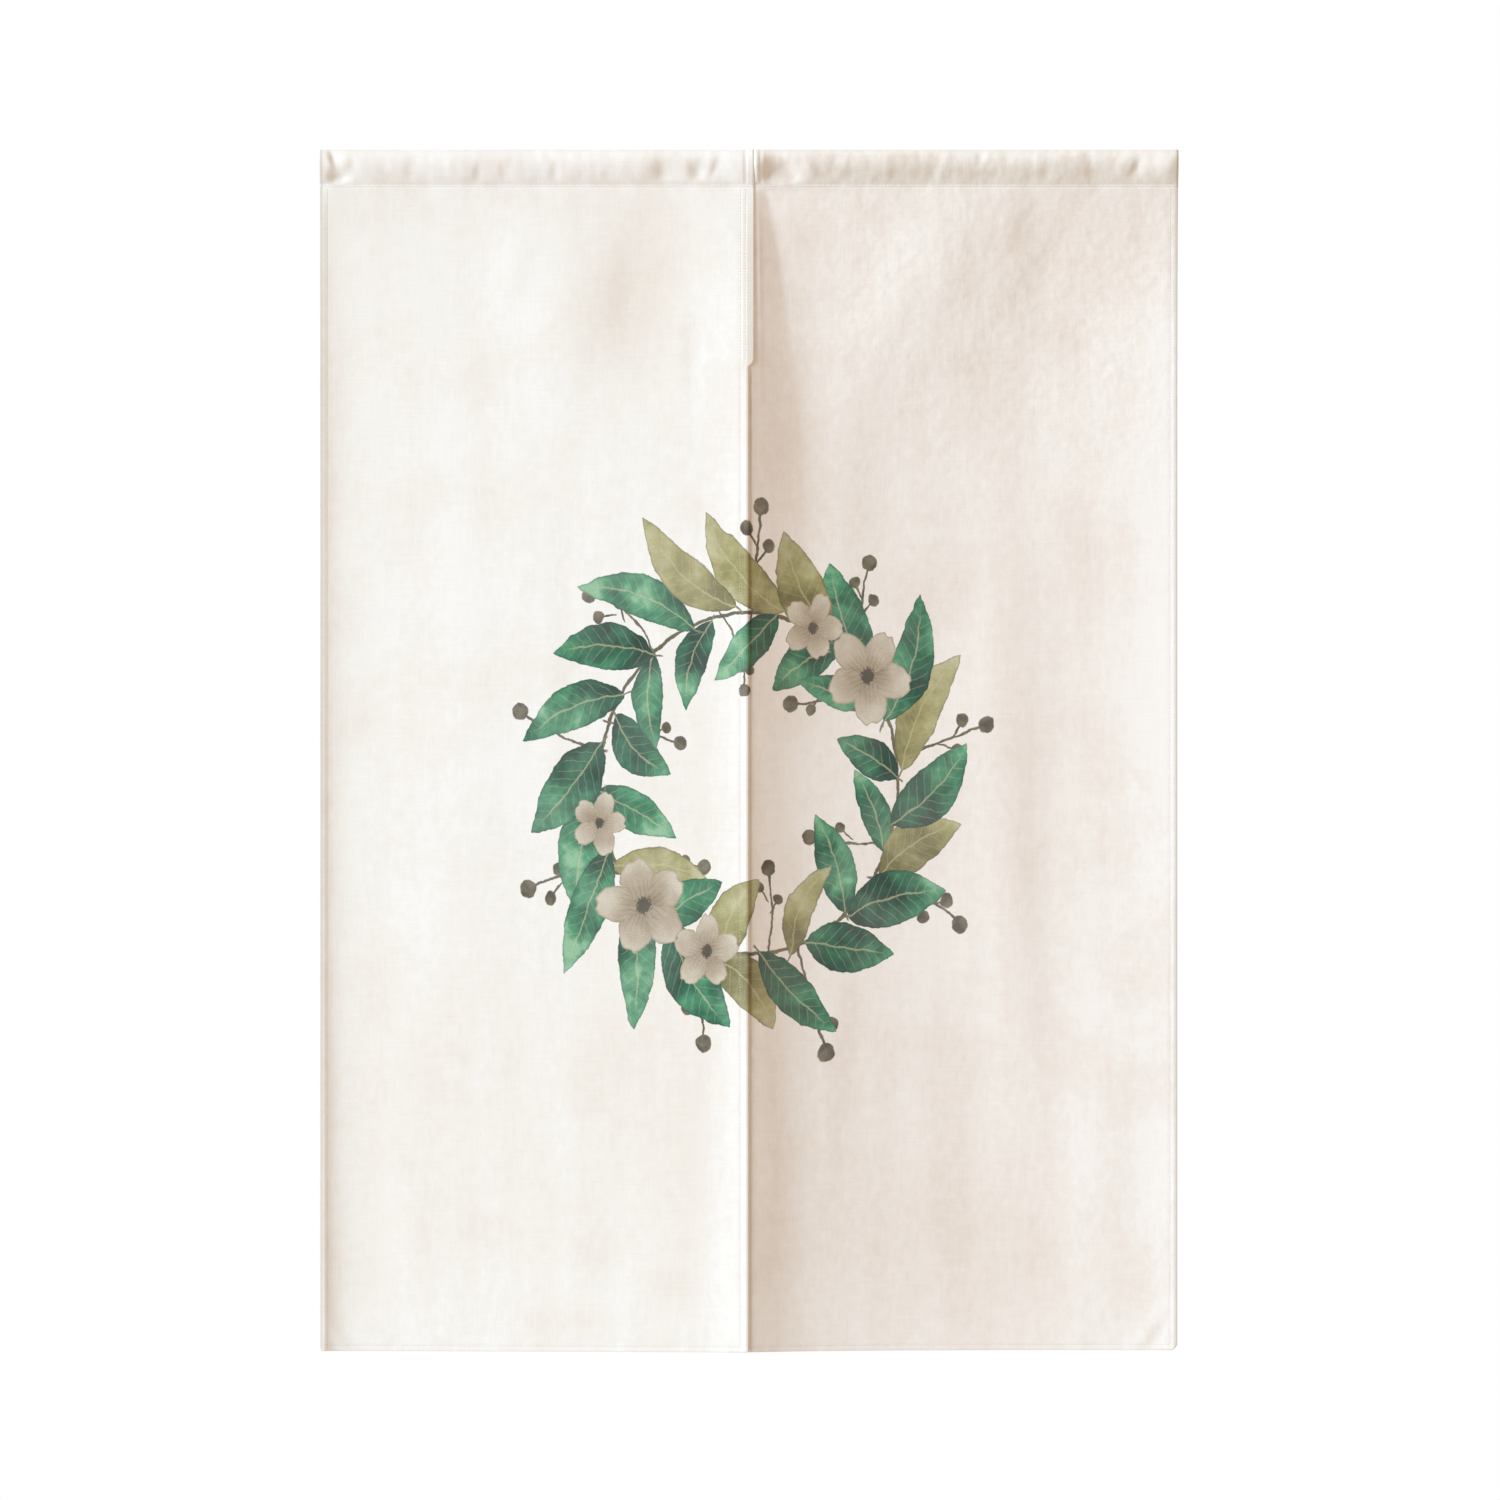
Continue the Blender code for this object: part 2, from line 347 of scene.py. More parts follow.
# %% Curled edges and soft folds, the same as the solids'
LEFT_CURL = 0.0042
LEFT_CURL_AT_FOOT = 0.0030
LEFT_CURL_RUN = 0.024
RIGHT_CURL = 0.0080
RIGHT_CURL_RUN = 0.070
FOLDS = (
    # x, z, lean, half_length, half_left, half_right, height
    (0.178, -0.13, 24.0, 0.105, 0.054, 0.054, 0.0042),
    (0.318, -0.15, 16.0, 0.125, 0.058, 0.058, -0.0028),
    (0.095, -0.34, 4.0, 0.13, 0.032, 0.032, 0.0015),
    (0.262, -0.64, -2.0, 0.26, 0.04, 0.04, 0.0028),
    (-0.19, -0.13, -6.0, 0.11, 0.05, 0.05, 0.0028),
    (-0.085, -0.155, 8.0, 0.09, 0.038, 0.038, -0.0015),
    (-0.29, -0.7, 3.0, 0.28, 0.06, 0.06, 0.0016),
    (0.345, -0.98, 6.0, 0.18, 0.045, 0.045, 0.0016),
)
FADED = 12.0  # no fold reaches past this squared distance, in half sizes


def edge_curl(x, z):
    """How far the outer edges turn towards the viewer."""
    left_curl = LEFT_CURL + LEFT_CURL_AT_FOOT * (z / HEIGHT) ** 2
    curl = left_curl * math.exp(-(x + WIDTH / 2) / LEFT_CURL_RUN)
    curl += RIGHT_CURL * math.exp(-(WIDTH / 2 - x) / RIGHT_CURL_RUN)
    return curl * growth(z, RIDGE_ONSET)


def relief(rows, x, z):
    """The sum of a table's folds at a place. Each is a soft hump or trough, which may be
    steeper on one side."""
    depth = 0.0
    for fold_x, fold_z, lean, half_length, half_left, half_right, height in rows:
        turn = math.radians(lean)
        along = ((x - fold_x) * math.sin(turn) + (z - fold_z) * math.cos(turn)) / half_length
        across = (x - fold_x) * math.cos(turn) - (z - fold_z) * math.sin(turn)
        across /= half_left if across < 0.0 else half_right
        if along * along + across * across < FADED:
            depth += height * math.exp(-along * along - across * across)
    return depth


def all_over(x, z):
    """The folds and curled edges that both panels share."""
    return edge_curl(x, z) + relief(FOLDS, x, z) * growth(z, CREASE_ONSET)


print(len(FOLDS), "soft folds")

# %% Each panel's own folds, and the lap
STRIP_FALL = 0.15  # slope of the left panel's sewn strip, past the crest
LAP_STEP = SHEET + 2.0 * TURN + 0.0001  # the right panel's front behind the left one's
LAP_FADE = 0.060
SLIT_STANDOFF = 0.0003
STANDOFF_RUN = 0.060
SLIT_GROOVE = 0.0017  # the right panel dips along the slit, where its hem ends
SLIT_GROOVE_X = 0.0010  # from the slit's edge to the middle of that groove
SLIT_GROOVE_HALF = 0.0015
SLIT_GROOVE_ONSET = 0.012


def left_folds(x, z):
    """How far the left panel stands towards the viewer. Past the crest its strip lies down."""
    past_crest = max(x - CREST_X, 0.0)
    ridge = rising_side(min(x, CREST_X), z)
    return ridge + all_over(x, z) - STRIP_FALL * past_crest * growth(z, CREASE_ONSET)


def right_folds(x, z):
    """How far the right panel would stand out if it lay level with the left one."""
    ridge = rising_side(x, z) if x < CREST_X else falling_side(x, z)
    return ridge + all_over(x, z)


def no_lap(x, z):
    """The left panel lies in front, so nothing moves it back."""
    return 0.0


def behind_left_panel(x, z):
    """How far the right panel lies back, so that the left one and its hem pass in front.
    The thread holds it close along the seam, and it hangs free below."""
    below_seam = max(-z - SEAM_LENGTH, 0.0)
    step = LAP_STEP + SLIT_STANDOFF * (1.0 - math.exp(-below_seam / STANDOFF_RUN))
    step *= math.exp(-max(x - CREST_X, 0.0) / LAP_FADE)
    groove = SLIT_GROOVE * math.exp(-((x - SLIT_EDGE - SLIT_GROOVE_X) / SLIT_GROOVE_HALF) ** 2)
    return step + groove * smooth(below_seam / SLIT_GROOVE_ONSET)


print("the right panel lies", round(behind_left_panel(CREST_X, -HEIGHT) * 1000, 2), "mm behind")

# %% [markdown]
# ## The small creases
# On the large folds lie the marks of handling and sewing: a crease pressed beside the seam,
# a soft dent, a bent corner, and puckers where thread has drawn the cloth in. They are too
# fine for the solids. Bump in the material could fake them, but real relief catches the light
# from every side. Each is a row of place, lean, size and height, read off the photograph.

# %% Creases and crumples
CREASES = (
    # x, z, lean, half_length, half_left, half_right, height
    (0.0106, -0.125, -0.6, 0.1, 0.0022, 0.0024, 0.0005),
    (0.2, -0.115, 24.0, 0.09, 0.06, 0.03, 0.001),
    (0.285, -0.09, 3.0, 0.05, 0.016, 0.026, -0.001),
    (-0.056, -0.205, 0.0, 0.04, 0.008, 0.016, -0.0008),
    (-0.11, -0.13, 10.0, 0.06, 0.024, 0.05, -0.0014),
    (-0.23, -0.11, 18.0, 0.05, 0.02, 0.012, 0.0007),
    (0.275, -0.075, 20.0, 0.04, 0.012, 0.016, -0.0009),
    (0.305, -0.1, 26.0, 0.05, 0.012, 0.02, -0.0009),
    (0.23, -0.17, 35.0, 0.06, 0.018, 0.014, 0.0008),
    (0.135, -0.18, 24.0, 0.07, 0.024, 0.016, 0.0008),
    (0.165, -0.47, 5.0, 0.12, 0.024, 0.016, 0.0006),
    (0.085, -0.9, 2.0, 0.15, 0.024, 0.016, 0.0006),
    (0.295, -0.8, -3.0, 0.11, 0.016, 0.022, -0.0007),
    (-0.205, -0.47, -4.0, 0.14, 0.026, 0.02, 0.0006),
    (-0.125, -1.04, 5.0, 0.1, 0.018, 0.024, -0.0005),
    (-0.34, -1.02, -5.0, 0.12, 0.024, 0.02, 0.0006),
    (0.3985, -1.171, 38.0, 0.016, 0.007, 0.003, 0.0013),
    (0.4055, -1.177, 38.0, 0.009, 0.003, 0.004, -0.0007),
    (-0.41, -1.172, -30.0, 0.016, 0.006, 0.006, 0.0007),
)
CRUMPLE = ((0.045, 0.00022), (0.016, 0.00010))  # size and height of the hand's crumples
CRUMPLED_MORE = 1.2  # how much more so at the upper right
CRUMPLED_ACROSS = 0.25
CRUMPLED_DOWN = 0.45


def rumpled(rows, x, z, layer):
    """A table's noises, each of its own size and height. layer picks a cut of the noise."""
    return sum(height * noise.noise(Vector((x / size, z / size, layer * size)))
               for size, height in rows)


def crumple(x, z):
    """The faint unevenness of cloth that has been folded and handled, most at the upper right."""
    share = CRUMPLED_MORE * smooth(x / CRUMPLED_ACROSS) * smooth(1.0 + z / CRUMPLED_DOWN)
    return (1.0 + share) * rumpled(CRUMPLE, x, z, 7.0)


print(len(CREASES), "creases")

# %% The pleat, and the rolled hem
PLEAT_BEND = (  # the line where the pleat beside the seam turns up again
    # z, x
    (-0.037, 0.0165),
    (-0.067, 0.0226),
    (-0.119, 0.0322),
    (-0.179, 0.0388),
    (-0.264, 0.0498),
    (-0.45, 0.062),
)
PLEAT_TILT = 0.28  # how much steeper the cloth falls as far as the bend, at the top
PLEAT_FADE = 0.105  # the tilt fades out over this length
PLEAT_RETURN = 0.055  # past the bend, the cloth comes back over this length
PLEAT_SHARP = 0.0022
PLEAT_ONSET = 0.004
LEFT_ROLL = (  # the left hem's roll at the top and at the foot of the curtain
    # crest from the edge, run outwards, run inwards, height
    (0.0034, 0.009, 0.005, 0.00085),
    (0.0052, 0.0068, 0.0085, 0.0028),
)
ROLL_ROUND = 0.0010  # radius of the roll's crest


def pleat(x, z):
    """The pleat pressed beside the seam. It falls from the seam to a slanted bend, and then
    comes back up gently."""
    for (high_z, high_x), (low_z, low_x) in zip(PLEAT_BEND, PLEAT_BEND[1:]):
        if z >= low_z:
            break
    share = min(max((z - high_z) / (low_z - high_z), 0.0), 1.0)
    width = high_x + (low_x - high_x) * share - SEAM_EDGE_LOW
    going = max(x - SEAM_EDGE_LOW, 0.0)
    coming = width * math.exp((width - going) / PLEAT_RETURN)
    fall = (going + coming - math.hypot(going - coming, PLEAT_SHARP)) / 2
    tilt = PLEAT_TILT * math.exp(min(z + SLEEVE_HEIGHT, 0.0) / PLEAT_FADE)
    return -tilt * max(fall, 0.0) * growth(z, PLEAT_ONSET)


def left_roll(x, z):
    """The left hem rolls towards the viewer, more so lower down, and rounds back at its edge."""
    foot_share = (z / HEIGHT) ** 2
    crest, outwards, inwards, height = [
        top + (foot - top) * foot_share for top, foot in zip(*LEFT_ROLL)]
    from_crest = x + WIDTH / 2 - crest
    if from_crest < 0.0:
        return height * math.exp(-(from_crest / outwards) ** 2)
    return height * math.exp(-(math.hypot(from_crest, ROLL_ROUND) - ROLL_ROUND) / inwards)


print("the pleat is", round(-pleat(PLEAT_BEND[1][1], PLEAT_BEND[1][0]) * 1000, 1), "mm deep")

# %% Puckers beside the stitching
SEWN_TROUGH = 0.00030  # how deep the thread pulls its line into the cloth
SEWN_HALF = 0.0013
PUCKER = 0.00028
PUCKER_REACH = 0.009
SIDE_WAVES = (0.031, 0.019, 0.0127)
SLEEVE_PUCKER = 0.00050
SLEEVE_PUCKER_REACH = 0.016
SLEEVE_WAVES = (0.061, 0.037, 0.0213)
WAVE_SHIFT = 2.3  # each further wave starts this much later
WAVE_FADE = 0.6  # and is weaker by this share
GATHER_SLANT = 0.15
GATHER_START = 0.7


def uneven_wave(place, lengths, start):
    """A few waves that never fall into step, so that puckers look unplanned."""
    total = 0.0
    for order, length in enumerate(lengths):
        wave = math.sin(math.tau * place / length + start + WAVE_SHIFT * order)
        total += wave / (1.0 + WAVE_FADE * order)
    return total / len(lengths)


def beside_line(distance, along, start):
    """A stitched line seen in the cloth: its trough, and the puckers on both sides of it."""
    depth = -SEWN_TROUGH * math.exp(-(distance / SEWN_HALF) ** 2)
    pucker = PUCKER * uneven_wave(along, SIDE_WAVES, start)
    return depth + pucker * math.exp(-abs(distance) / PUCKER_REACH)


def gathers(x, z):
    """Puckers that run down from the sleeve's stitched line, and up into the sleeve."""
    from_line = abs(z + SLEEVE_HEIGHT)
    wave = uneven_wave(x + GATHER_SLANT * z, SLEEVE_WAVES, GATHER_START)
    return SLEEVE_PUCKER * wave * math.exp(-from_line / SLEEVE_PUCKER_REACH)


print("puckers are up to", PUCKER * 1000, "mm beside a hem's row")

# %% The front of each panel
SIDE_LINE = 0.0074  # from the edge to the side hems' stitching
SLIT_LINE = 0.0084  # the same at the left panel's slit edge
HIDDEN_LINE = 0.0042  # the same at the right panel's inner edge, behind the left one
BOTTOM_LINE = 0.0052
OUTER_PUCKERED = 0.5  # the side rows pull less than the bottom one
INNER_PUCKERED = 0.6
INNER_START = 1.9  # the puckers of each row start elsewhere, so that no two are alike
BOTTOM_START = 0.8
SEAM_START = 3.1
RIGHT_START = 4.0
SMALL_ONSET = 0.012  # below the sleeve, the small creases set in over this length
LEFT_INNER_LINE = SLIT_EDGE - SLIT_LINE
RIGHT_INNER_LINE = RIGHT_PANEL_EDGE + HIDDEN_LINE


def small_creases(x, z, inner_line, start):
    """All that lies on the large folds of one panel. inner_line is its inner hem's stitching."""
    from_outer = WIDTH / 2 - abs(x)
    depth = relief(CREASES, x, z) + crumple(x, z) + left_roll(x, z)
    depth += OUTER_PUCKERED * beside_line(from_outer - SIDE_LINE, z, start)
    depth += INNER_PUCKERED * beside_line(x - inner_line, z, start + INNER_START)
    depth += beside_line(z + HEIGHT - BOTTOM_LINE, x, start + BOTTOM_START)
    if x < SEAM_EDGE_TOP and -z < SEAM_LENGTH:
        depth += beside_line(x - seam_row_x(z), z, start + SEAM_START)
    return depth * growth(z, SMALL_ONSET) + pleat(x, z) + gathers(x, z)


def left_front(x, z):
    """Y of the left panel's front."""
    return -left_folds(x, z) - small_creases(x, z, LEFT_INNER_LINE, 0.0)


def right_front(x, z):
    """Y of the right panel's front."""
    creases = small_creases(x, z, RIGHT_INNER_LINE, RIGHT_START)
    return behind_left_panel(x, z) - right_folds(x, z) - creases


print("the left front lies at y", round(left_front(-WIDTH / 4, -HEIGHT / 2), 4), "in its middle")

# %% [markdown]
# ## The panels
# Each panel is one cut of cloth whose edges are turned to the back and stitched. We make it
# so: a flat grid in the cloth's own measure, wider than the panel by its hems, whose outer
# columns and rows go round a small half circle and come back behind. The same grid's flat
# places become the UV map, so weave and print follow the cloth. A Solidify modifier gives it
# its thickness, with the cloth's reverse as a second material.

# %% Where the grid's columns and rows lie
SIDE_HEM = 0.0100
LEFT_INNER_HEM = 0.0095
RIGHT_INNER_HEM = 0.0056
BOTTOM_HEM = 0.0062
FINE = 0.00100  # pitch in and beside a hem
HEM_ZONE = 0.0125
SLIT_ZONE = 0.0095
INNER_ZONES = ((0.027, 0.0014), (0.075, 0.0028))  # next to the slit: how far, column pitch
COLUMN_PITCH = 0.0052
ROW_PITCH = 0.0042
TOP_ZONE = 0.012  # under the sleeve, with a row pitch of its own
TOP_PITCH = 0.0015
BOTTOM_ZONE = 0.008  # above the bottom fold, where rows lie as close as in a hem
FOOT_ZONE = 0.008  # the same above the seam's foot, and a quarter of it below
PANEL_TOP = -SLEEVE_HEIGHT - GAP
HALF_TURN = math.pi * TURN


def stepped(start, *stretches):
    """Places from start on. Each stretch is how far it reaches, and its pitch, which gives a
    little so that the stretch is filled."""
    places = []
    for far, pitch in stretches:
        count = max(1, round((far - start) / pitch))
        places += [start + (far - start) * step / count for step in range(count)]
        start = far
    return places + [start]


def places_across(width, inner_hem):
    """Flat places from the end of the inner hem (below 0) to the end of the outer one."""
    return stepped(
        -inner_hem, (-HALF_TURN, FINE), (0.0, HALF_TURN / 4), (SLIT_ZONE, FINE / 2),
        (HEM_ZONE, FINE), *INNER_ZONES, (width - HEM_ZONE, COLUMN_PITCH), (width, FINE),
        (width + HALF_TURN, HALF_TURN / 4), (width + SIDE_HEM, FINE))


def places_down(height):
    """Flat places from the sleeve down to the bottom fold, and on to the end of its hem."""
    seam_foot = SEAM_LENGTH + PANEL_TOP
    return stepped(
        0.0, (TOP_ZONE, TOP_PITCH), (seam_foot - FOOT_ZONE, ROW_PITCH),
        (seam_foot + FOOT_ZONE / 4, FINE), (height - BOTTOM_ZONE, ROW_PITCH), (height, FINE),
        (height + HALF_TURN, HALF_TURN / 4), (height + BOTTOM_HEM, FINE))


print("columns", len(places_across(WIDTH / 2, LEFT_INNER_HEM)), "rows", len(places_down(HEIGHT)))

# %% Hem and hang one place of the cut
EDGE_INSET = TURN + SHEET / 2  # from the panel's edge back to where its cloth starts to turn
CORNER_ROUND = {-1.0: 0.0035, 1.0: 0.0075}  # radius of the left and the right bottom corner
CORNER_MOST = 0.96  # how far round its corner the cloth goes, as a share
CORNER_EASE = 0.012  # the bottom hem thickens over this length towards a side hem
SLEEVE_MEET = 0.00008  # the panel and its sleeve are one cloth, so they all but touch


def past_fold(beyond):
    """Cloth that runs past a fold line: how far out it reaches there, and how far behind."""
    if beyond <= 0.0:
        return 0.0, 0.0
    if beyond < HALF_TURN:
        angle = beyond / TURN
        return TURN * math.sin(angle), TURN * (1.0 - math.cos(angle))
    return -(beyond - HALF_TURN), 2.0 * TURN


def panel_point(across, down, width, outer_x, inner_edge, front):
    """Where a flat place of a panel goes when its hems are turned and it hangs in its folds."""
    side = math.copysign(1.0, outer_x)
    inner_out, inner_back = past_fold(-across)
    outer_out, outer_back = past_fold(across - width)
    share = min(max(across / width, 0.0), 1.0)
    from_edge = min(share, 1.0 - share) * width
    stacked = 1.0 - smooth((from_edge - HEM_ZONE) / CORNER_EASE)
    behind = inner_back + outer_back

    corner = CORNER_ROUND[side]
    from_outer = EDGE_INSET + max((1.0 - share) * width, -outer_out) - max(outer_out, 0.0)
    into_corner = min(max(corner - from_outer, 0.0), corner * CORNER_MOST)
    lift = corner - math.sqrt(corner * corner - into_corner * into_corner)

    turn_centre = TURN + 2.0 * TURN * stacked
    top = PANEL_TOP + SLEEVE_MEET
    bottom = -HEIGHT + turn_centre + SHEET / 2 + lift
    height = HEIGHT + PANEL_TOP
    past = max(down - height, 0.0)
    angle = min(past / HALF_TURN, 1.0) * math.pi
    radius = turn_centre - behind
    z = top + (bottom - top) * min(down / height, 1.0)
    z += max(past - HALF_TURN, 0.0) - radius * math.sin(angle)
    behind = turn_centre - radius * math.cos(angle) if past > 0.0 else behind

    inner_x = inner_edge(z) + side * EDGE_INSET
    x = inner_x + (outer_x - side * EDGE_INSET - inner_x) * share
    x += side * (outer_out - inner_out)
    return Vector((x, front(x, z) + SHEET / 2 + behind, z))


print("each hem takes", round(HALF_TURN * 1000, 2), "mm of cloth in its turn")

# %% Make a piece, and a sheet of cloth
def new_piece(name, bm, materials):
    """An object at the origin, from a finished bmesh."""
    for face in bm.faces:
        face.smooth = True
    mesh = bpy.data.meshes.new(name)
    bm.to_mesh(mesh)
    bm.free()
    for material in materials:
        mesh.materials.append(material)
    piece = bpy.data.objects.new(name, mesh)
    bpy.context.scene.collection.objects.link(piece)
    return piece


def sheet_of_cloth(name, columns, rows, place, flat_place, materials):
    """A grid of cloth with its UV map and its thickness. place hangs a column and a row, and
    flat_place is where they lie in the cut."""
    bm = bmesh.new()
    across, down = len(columns) - 1, len(rows) - 1
    bmesh.ops.create_grid(bm, x_segments=across, y_segments=down, size=0.5)
    flat_places = {}
    for vert in bm.verts:
        column = columns[round((vert.co.x + 0.5) * across)]
        row = rows[round((vert.co.y + 0.5) * down)]
        flat_places[vert.index] = flat_place(column, row)
        vert.co = place(column, row)
    bm.normal_update()
    if sum(face.normal.y * face.calc_area() for face in bm.faces) > 0.0:
        bmesh.ops.reverse_faces(bm, faces=bm.faces[:])
    cloth_map = bm.loops.layers.uv.new("cloth")
    for face in bm.faces:
        for loop in face.loops:
            loop[cloth_map].uv = flat_places[loop.vert.index]
    piece = new_piece(name, bm, materials)
    thicken = piece.modifiers.new("thickness", "SOLIDIFY")
    thicken.thickness = SHEET
    thicken.offset = 0.0
    thicken.material_offset = 1
    print(name, across * down, "faces before it gets its thickness")
    return piece


def hung_panel(name, outer_x, inner_edge, inner_hem, front, materials):
    """One panel of cloth, hemmed and hung."""
    low_edge = inner_edge(-HEIGHT)
    width = abs(outer_x - low_edge) - 2.0 * EDGE_INSET
    side = math.copysign(1.0, outer_x)
    return sheet_of_cloth(
        name, places_across(width, inner_hem), places_down(HEIGHT + PANEL_TOP),
        lambda across, down: panel_point(across, down, width, outer_x, inner_edge, front),
        lambda across, down: (low_edge + side * (EDGE_INSET + across), PANEL_TOP - down), materials)


# %% [markdown]
# ## The rod sleeve
# The sleeve is the top of the same cloth, turned to the back and stitched down in a line, so
# it is an arch of cloth whose two walls meet at the thread. We roll a grid over that arch:
# columns run along the rod, and rows go up the front, over the top and down the back. The
# walls swell most where the rod goes. Dents and puckers show where the stitching pulls.

# %% The sleeve's section
SLEEVE_LINE = -0.0350  # the stitching that closes the pocket
SLEEVE_SWELL = 0.0106
UNEVEN_SWELL = 0.10
SWELL_WAVES = (0.145, 0.083)
SWELL_START = 1.1
BACK_START = 2.0  # the back's waves start this much later
SLEEVE_DENTS = (
    # x, z, lean, half_length, half_left, half_right, height
    (-0.085, -0.0225, 4.0, 0.0095, 0.008, 0.019, -0.0032),
    (-0.0505, -0.022, -20.0, 0.0105, 0.0075, 0.014, -0.0042),
    (-0.0325, -0.02, 22.0, 0.011, 0.005, 0.019, -0.003),
    (-0.14, -0.026, 10.0, 0.007, 0.004, 0.009, -0.0007),
    (-0.192, -0.0225, 14.0, 0.009, 0.0045, 0.008, -0.0011),
    (-0.243, -0.0215, -10.0, 0.009, 0.004, 0.008, -0.0008),
    (-0.268, -0.024, 12.0, 0.01, 0.004, 0.01, -0.0012),
    (-0.335, -0.022, -14.0, 0.009, 0.004, 0.01, -0.0008),
    (-0.393, -0.018, 20.0, 0.008, 0.004, 0.007, -0.0007),
    (-0.4118, -0.0085, -21.0, 0.0085, 0.003, 0.007, -0.0024),
    (-0.4088, -0.0305, -6.0, 0.009, 0.0062, 0.013, -0.006),
    (0.012, -0.021, 0.0, 0.02, 0.005, 0.008, 0.0018),
    (0.019, -0.0245, 6.0, 0.015, 0.007, 0.018, -0.002),
    (0.0345, -0.024, 14.0, 0.013, 0.0175, 0.015, -0.0084),
    (0.07, -0.025, 10.0, 0.008, 0.005, 0.009, -0.0008),
    (0.1, -0.024, -8.0, 0.007, 0.0045, 0.006, -0.0006),
    (0.143, -0.026, 12.0, 0.008, 0.004, 0.009, -0.0007),
    (0.18, -0.022, 6.0, 0.011, 0.005, 0.008, -0.001),
    (0.2288, -0.0085, -12.0, 0.006, 0.005, 0.006, -0.001),
    (0.247, -0.025, -8.0, 0.01, 0.0055, 0.009, -0.001),
    (0.295, -0.023, 6.0, 0.011, 0.0055, 0.009, -0.0011),
    (0.342, -0.022, -6.0, 0.01, 0.0055, 0.008, -0.0008),
    (0.3836, -0.0178, 25.0, 0.01, 0.0036, 0.009, -0.0021),
    (0.415, -0.019, 14.0, 0.014, 0.013, 0.009, 0.0021),
    (0.407, -0.035, 20.0, 0.004, 0.0028, 0.004, -0.0012),
    (0.4195, -0.0355, 30.0, 0.004, 0.0028, 0.004, -0.0012),
)
SEAM_STEPS = (
    # x, half_width, height: upright lines where the seam runs on through the sleeve
    (-0.0032, 0.001, -0.0008),
    (0.008, 0.0016, 0.0006),
    (0.0112, 0.0012, -0.0009),
)
CRINKLE = ((0.011, 0.00030), (0.0055, 0.00013))  # size and height of the sleeve's crinkles
CRINKLE_TALL = 2.0  # they are this much taller than wide
CRINKLED_MORE = 0.8  # how much more there is of them on the right sleeve
CRINKLED_ACROSS = 0.05
BACK_SHIFT = 0.031  # the back's dents lie this far to the left
DENT_ONSET = 0.2  # dents set in over this share of a wall's height
DENT_EASE = 0.4  # and grow towards its top, along a sine that starts at this angle
STEP_ONSET = 0.125  # the same for the seam's lines
TOP_BLUNT = 3.0  # how soon the walls part below the top


def sleeve_swell(x, z, at_back):
    """How far a wall of the sleeve stands from the sleeve's middle."""
    height = -SLEEVE_LINE - SHEET / 2
    share = min(max((z - SLEEVE_LINE) / height, 0.0), 1.0)
    from_line = math.acos(1.0 - 2.0 * share)
    swell = SLEEVE_SWELL * math.sin(from_line) * math.sin(from_line / 2)
    swell *= 1.0 + UNEVEN_SWELL * uneven_wave(x, SWELL_WAVES, SWELL_START + BACK_START * at_back)
    place = x + BACK_SHIFT if at_back else x
    softness = min(share / DENT_ONSET, 1.0) * math.sin(from_line / 2 + DENT_EASE)
    crinkled = 1.0 + CRINKLED_MORE * smooth(x / CRINKLED_ACROSS)
    swell += softness * (relief(SLEEVE_DENTS, place, z)
                         + crinkled * rumpled(CRINKLE, place, z / CRINKLE_TALL, 1.0))
    if not at_back:
        for line_x, half_width, height in SEAM_STEPS:
            swell += height * math.exp(-((x - line_x) / half_width) ** 2) * min(share / STEP_ONSET, 1.0)
    top_round = math.sqrt(max(1.0 - share, 0.0))
    return max(swell, TURN * min(1.0, TOP_BLUNT * top_round))


print("sleeve swells to", round(sleeve_swell(0.2, -0.0125, False) * 1000, 1), "mm")

# %% Roll one sleeve
SLEEVE_ROUNDS = 48  # rows of faces around it
SLEEVE_PITCH = 0.0024
SLEEVE_END = 0.02  # at both ends, with a column pitch of its own
SLEEVE_END_PITCH = 0.0016
SLEEVE_SKIRT = 0.10  # share of a wall that lies below the stitching
SLEEVE_EASE = 0.030  # the lap of the panels fades out over this height
SLEEVE_FOOT = PANEL_TOP + 1.25 * SLEEVE_MEET  # in front, a hair above the panel's top


def sleeve_point(x, around, lap):
    """A point of the sleeve. around goes from the front's lower edge (0) to the back's (1)."""
    at_back = around > 0.5
    up = 1.0 - abs(2.0 * around - 1.0)
    if up < SLEEVE_SKIRT:
        lower = -SLEEVE_HEIGHT if at_back else SLEEVE_FOOT
        z = lower + (SLEEVE_LINE - lower) * up / SLEEVE_SKIRT
    else:
        from_line = (up - SLEEVE_SKIRT) / (1.0 - SLEEVE_SKIRT) * math.pi
        z = SLEEVE_LINE - (SLEEVE_LINE + SHEET / 2) * (1.0 - math.cos(from_line)) / 2.0
    swell = sleeve_swell(x, z, at_back)
    middle = CLOTH / 2 + lap(x, z) * (1.0 - smooth((z - SLEEVE_LINE) / SLEEVE_EASE))
    y = middle + (swell if at_back else -swell) - gathers(x, z)
    return Vector((x, y, z))


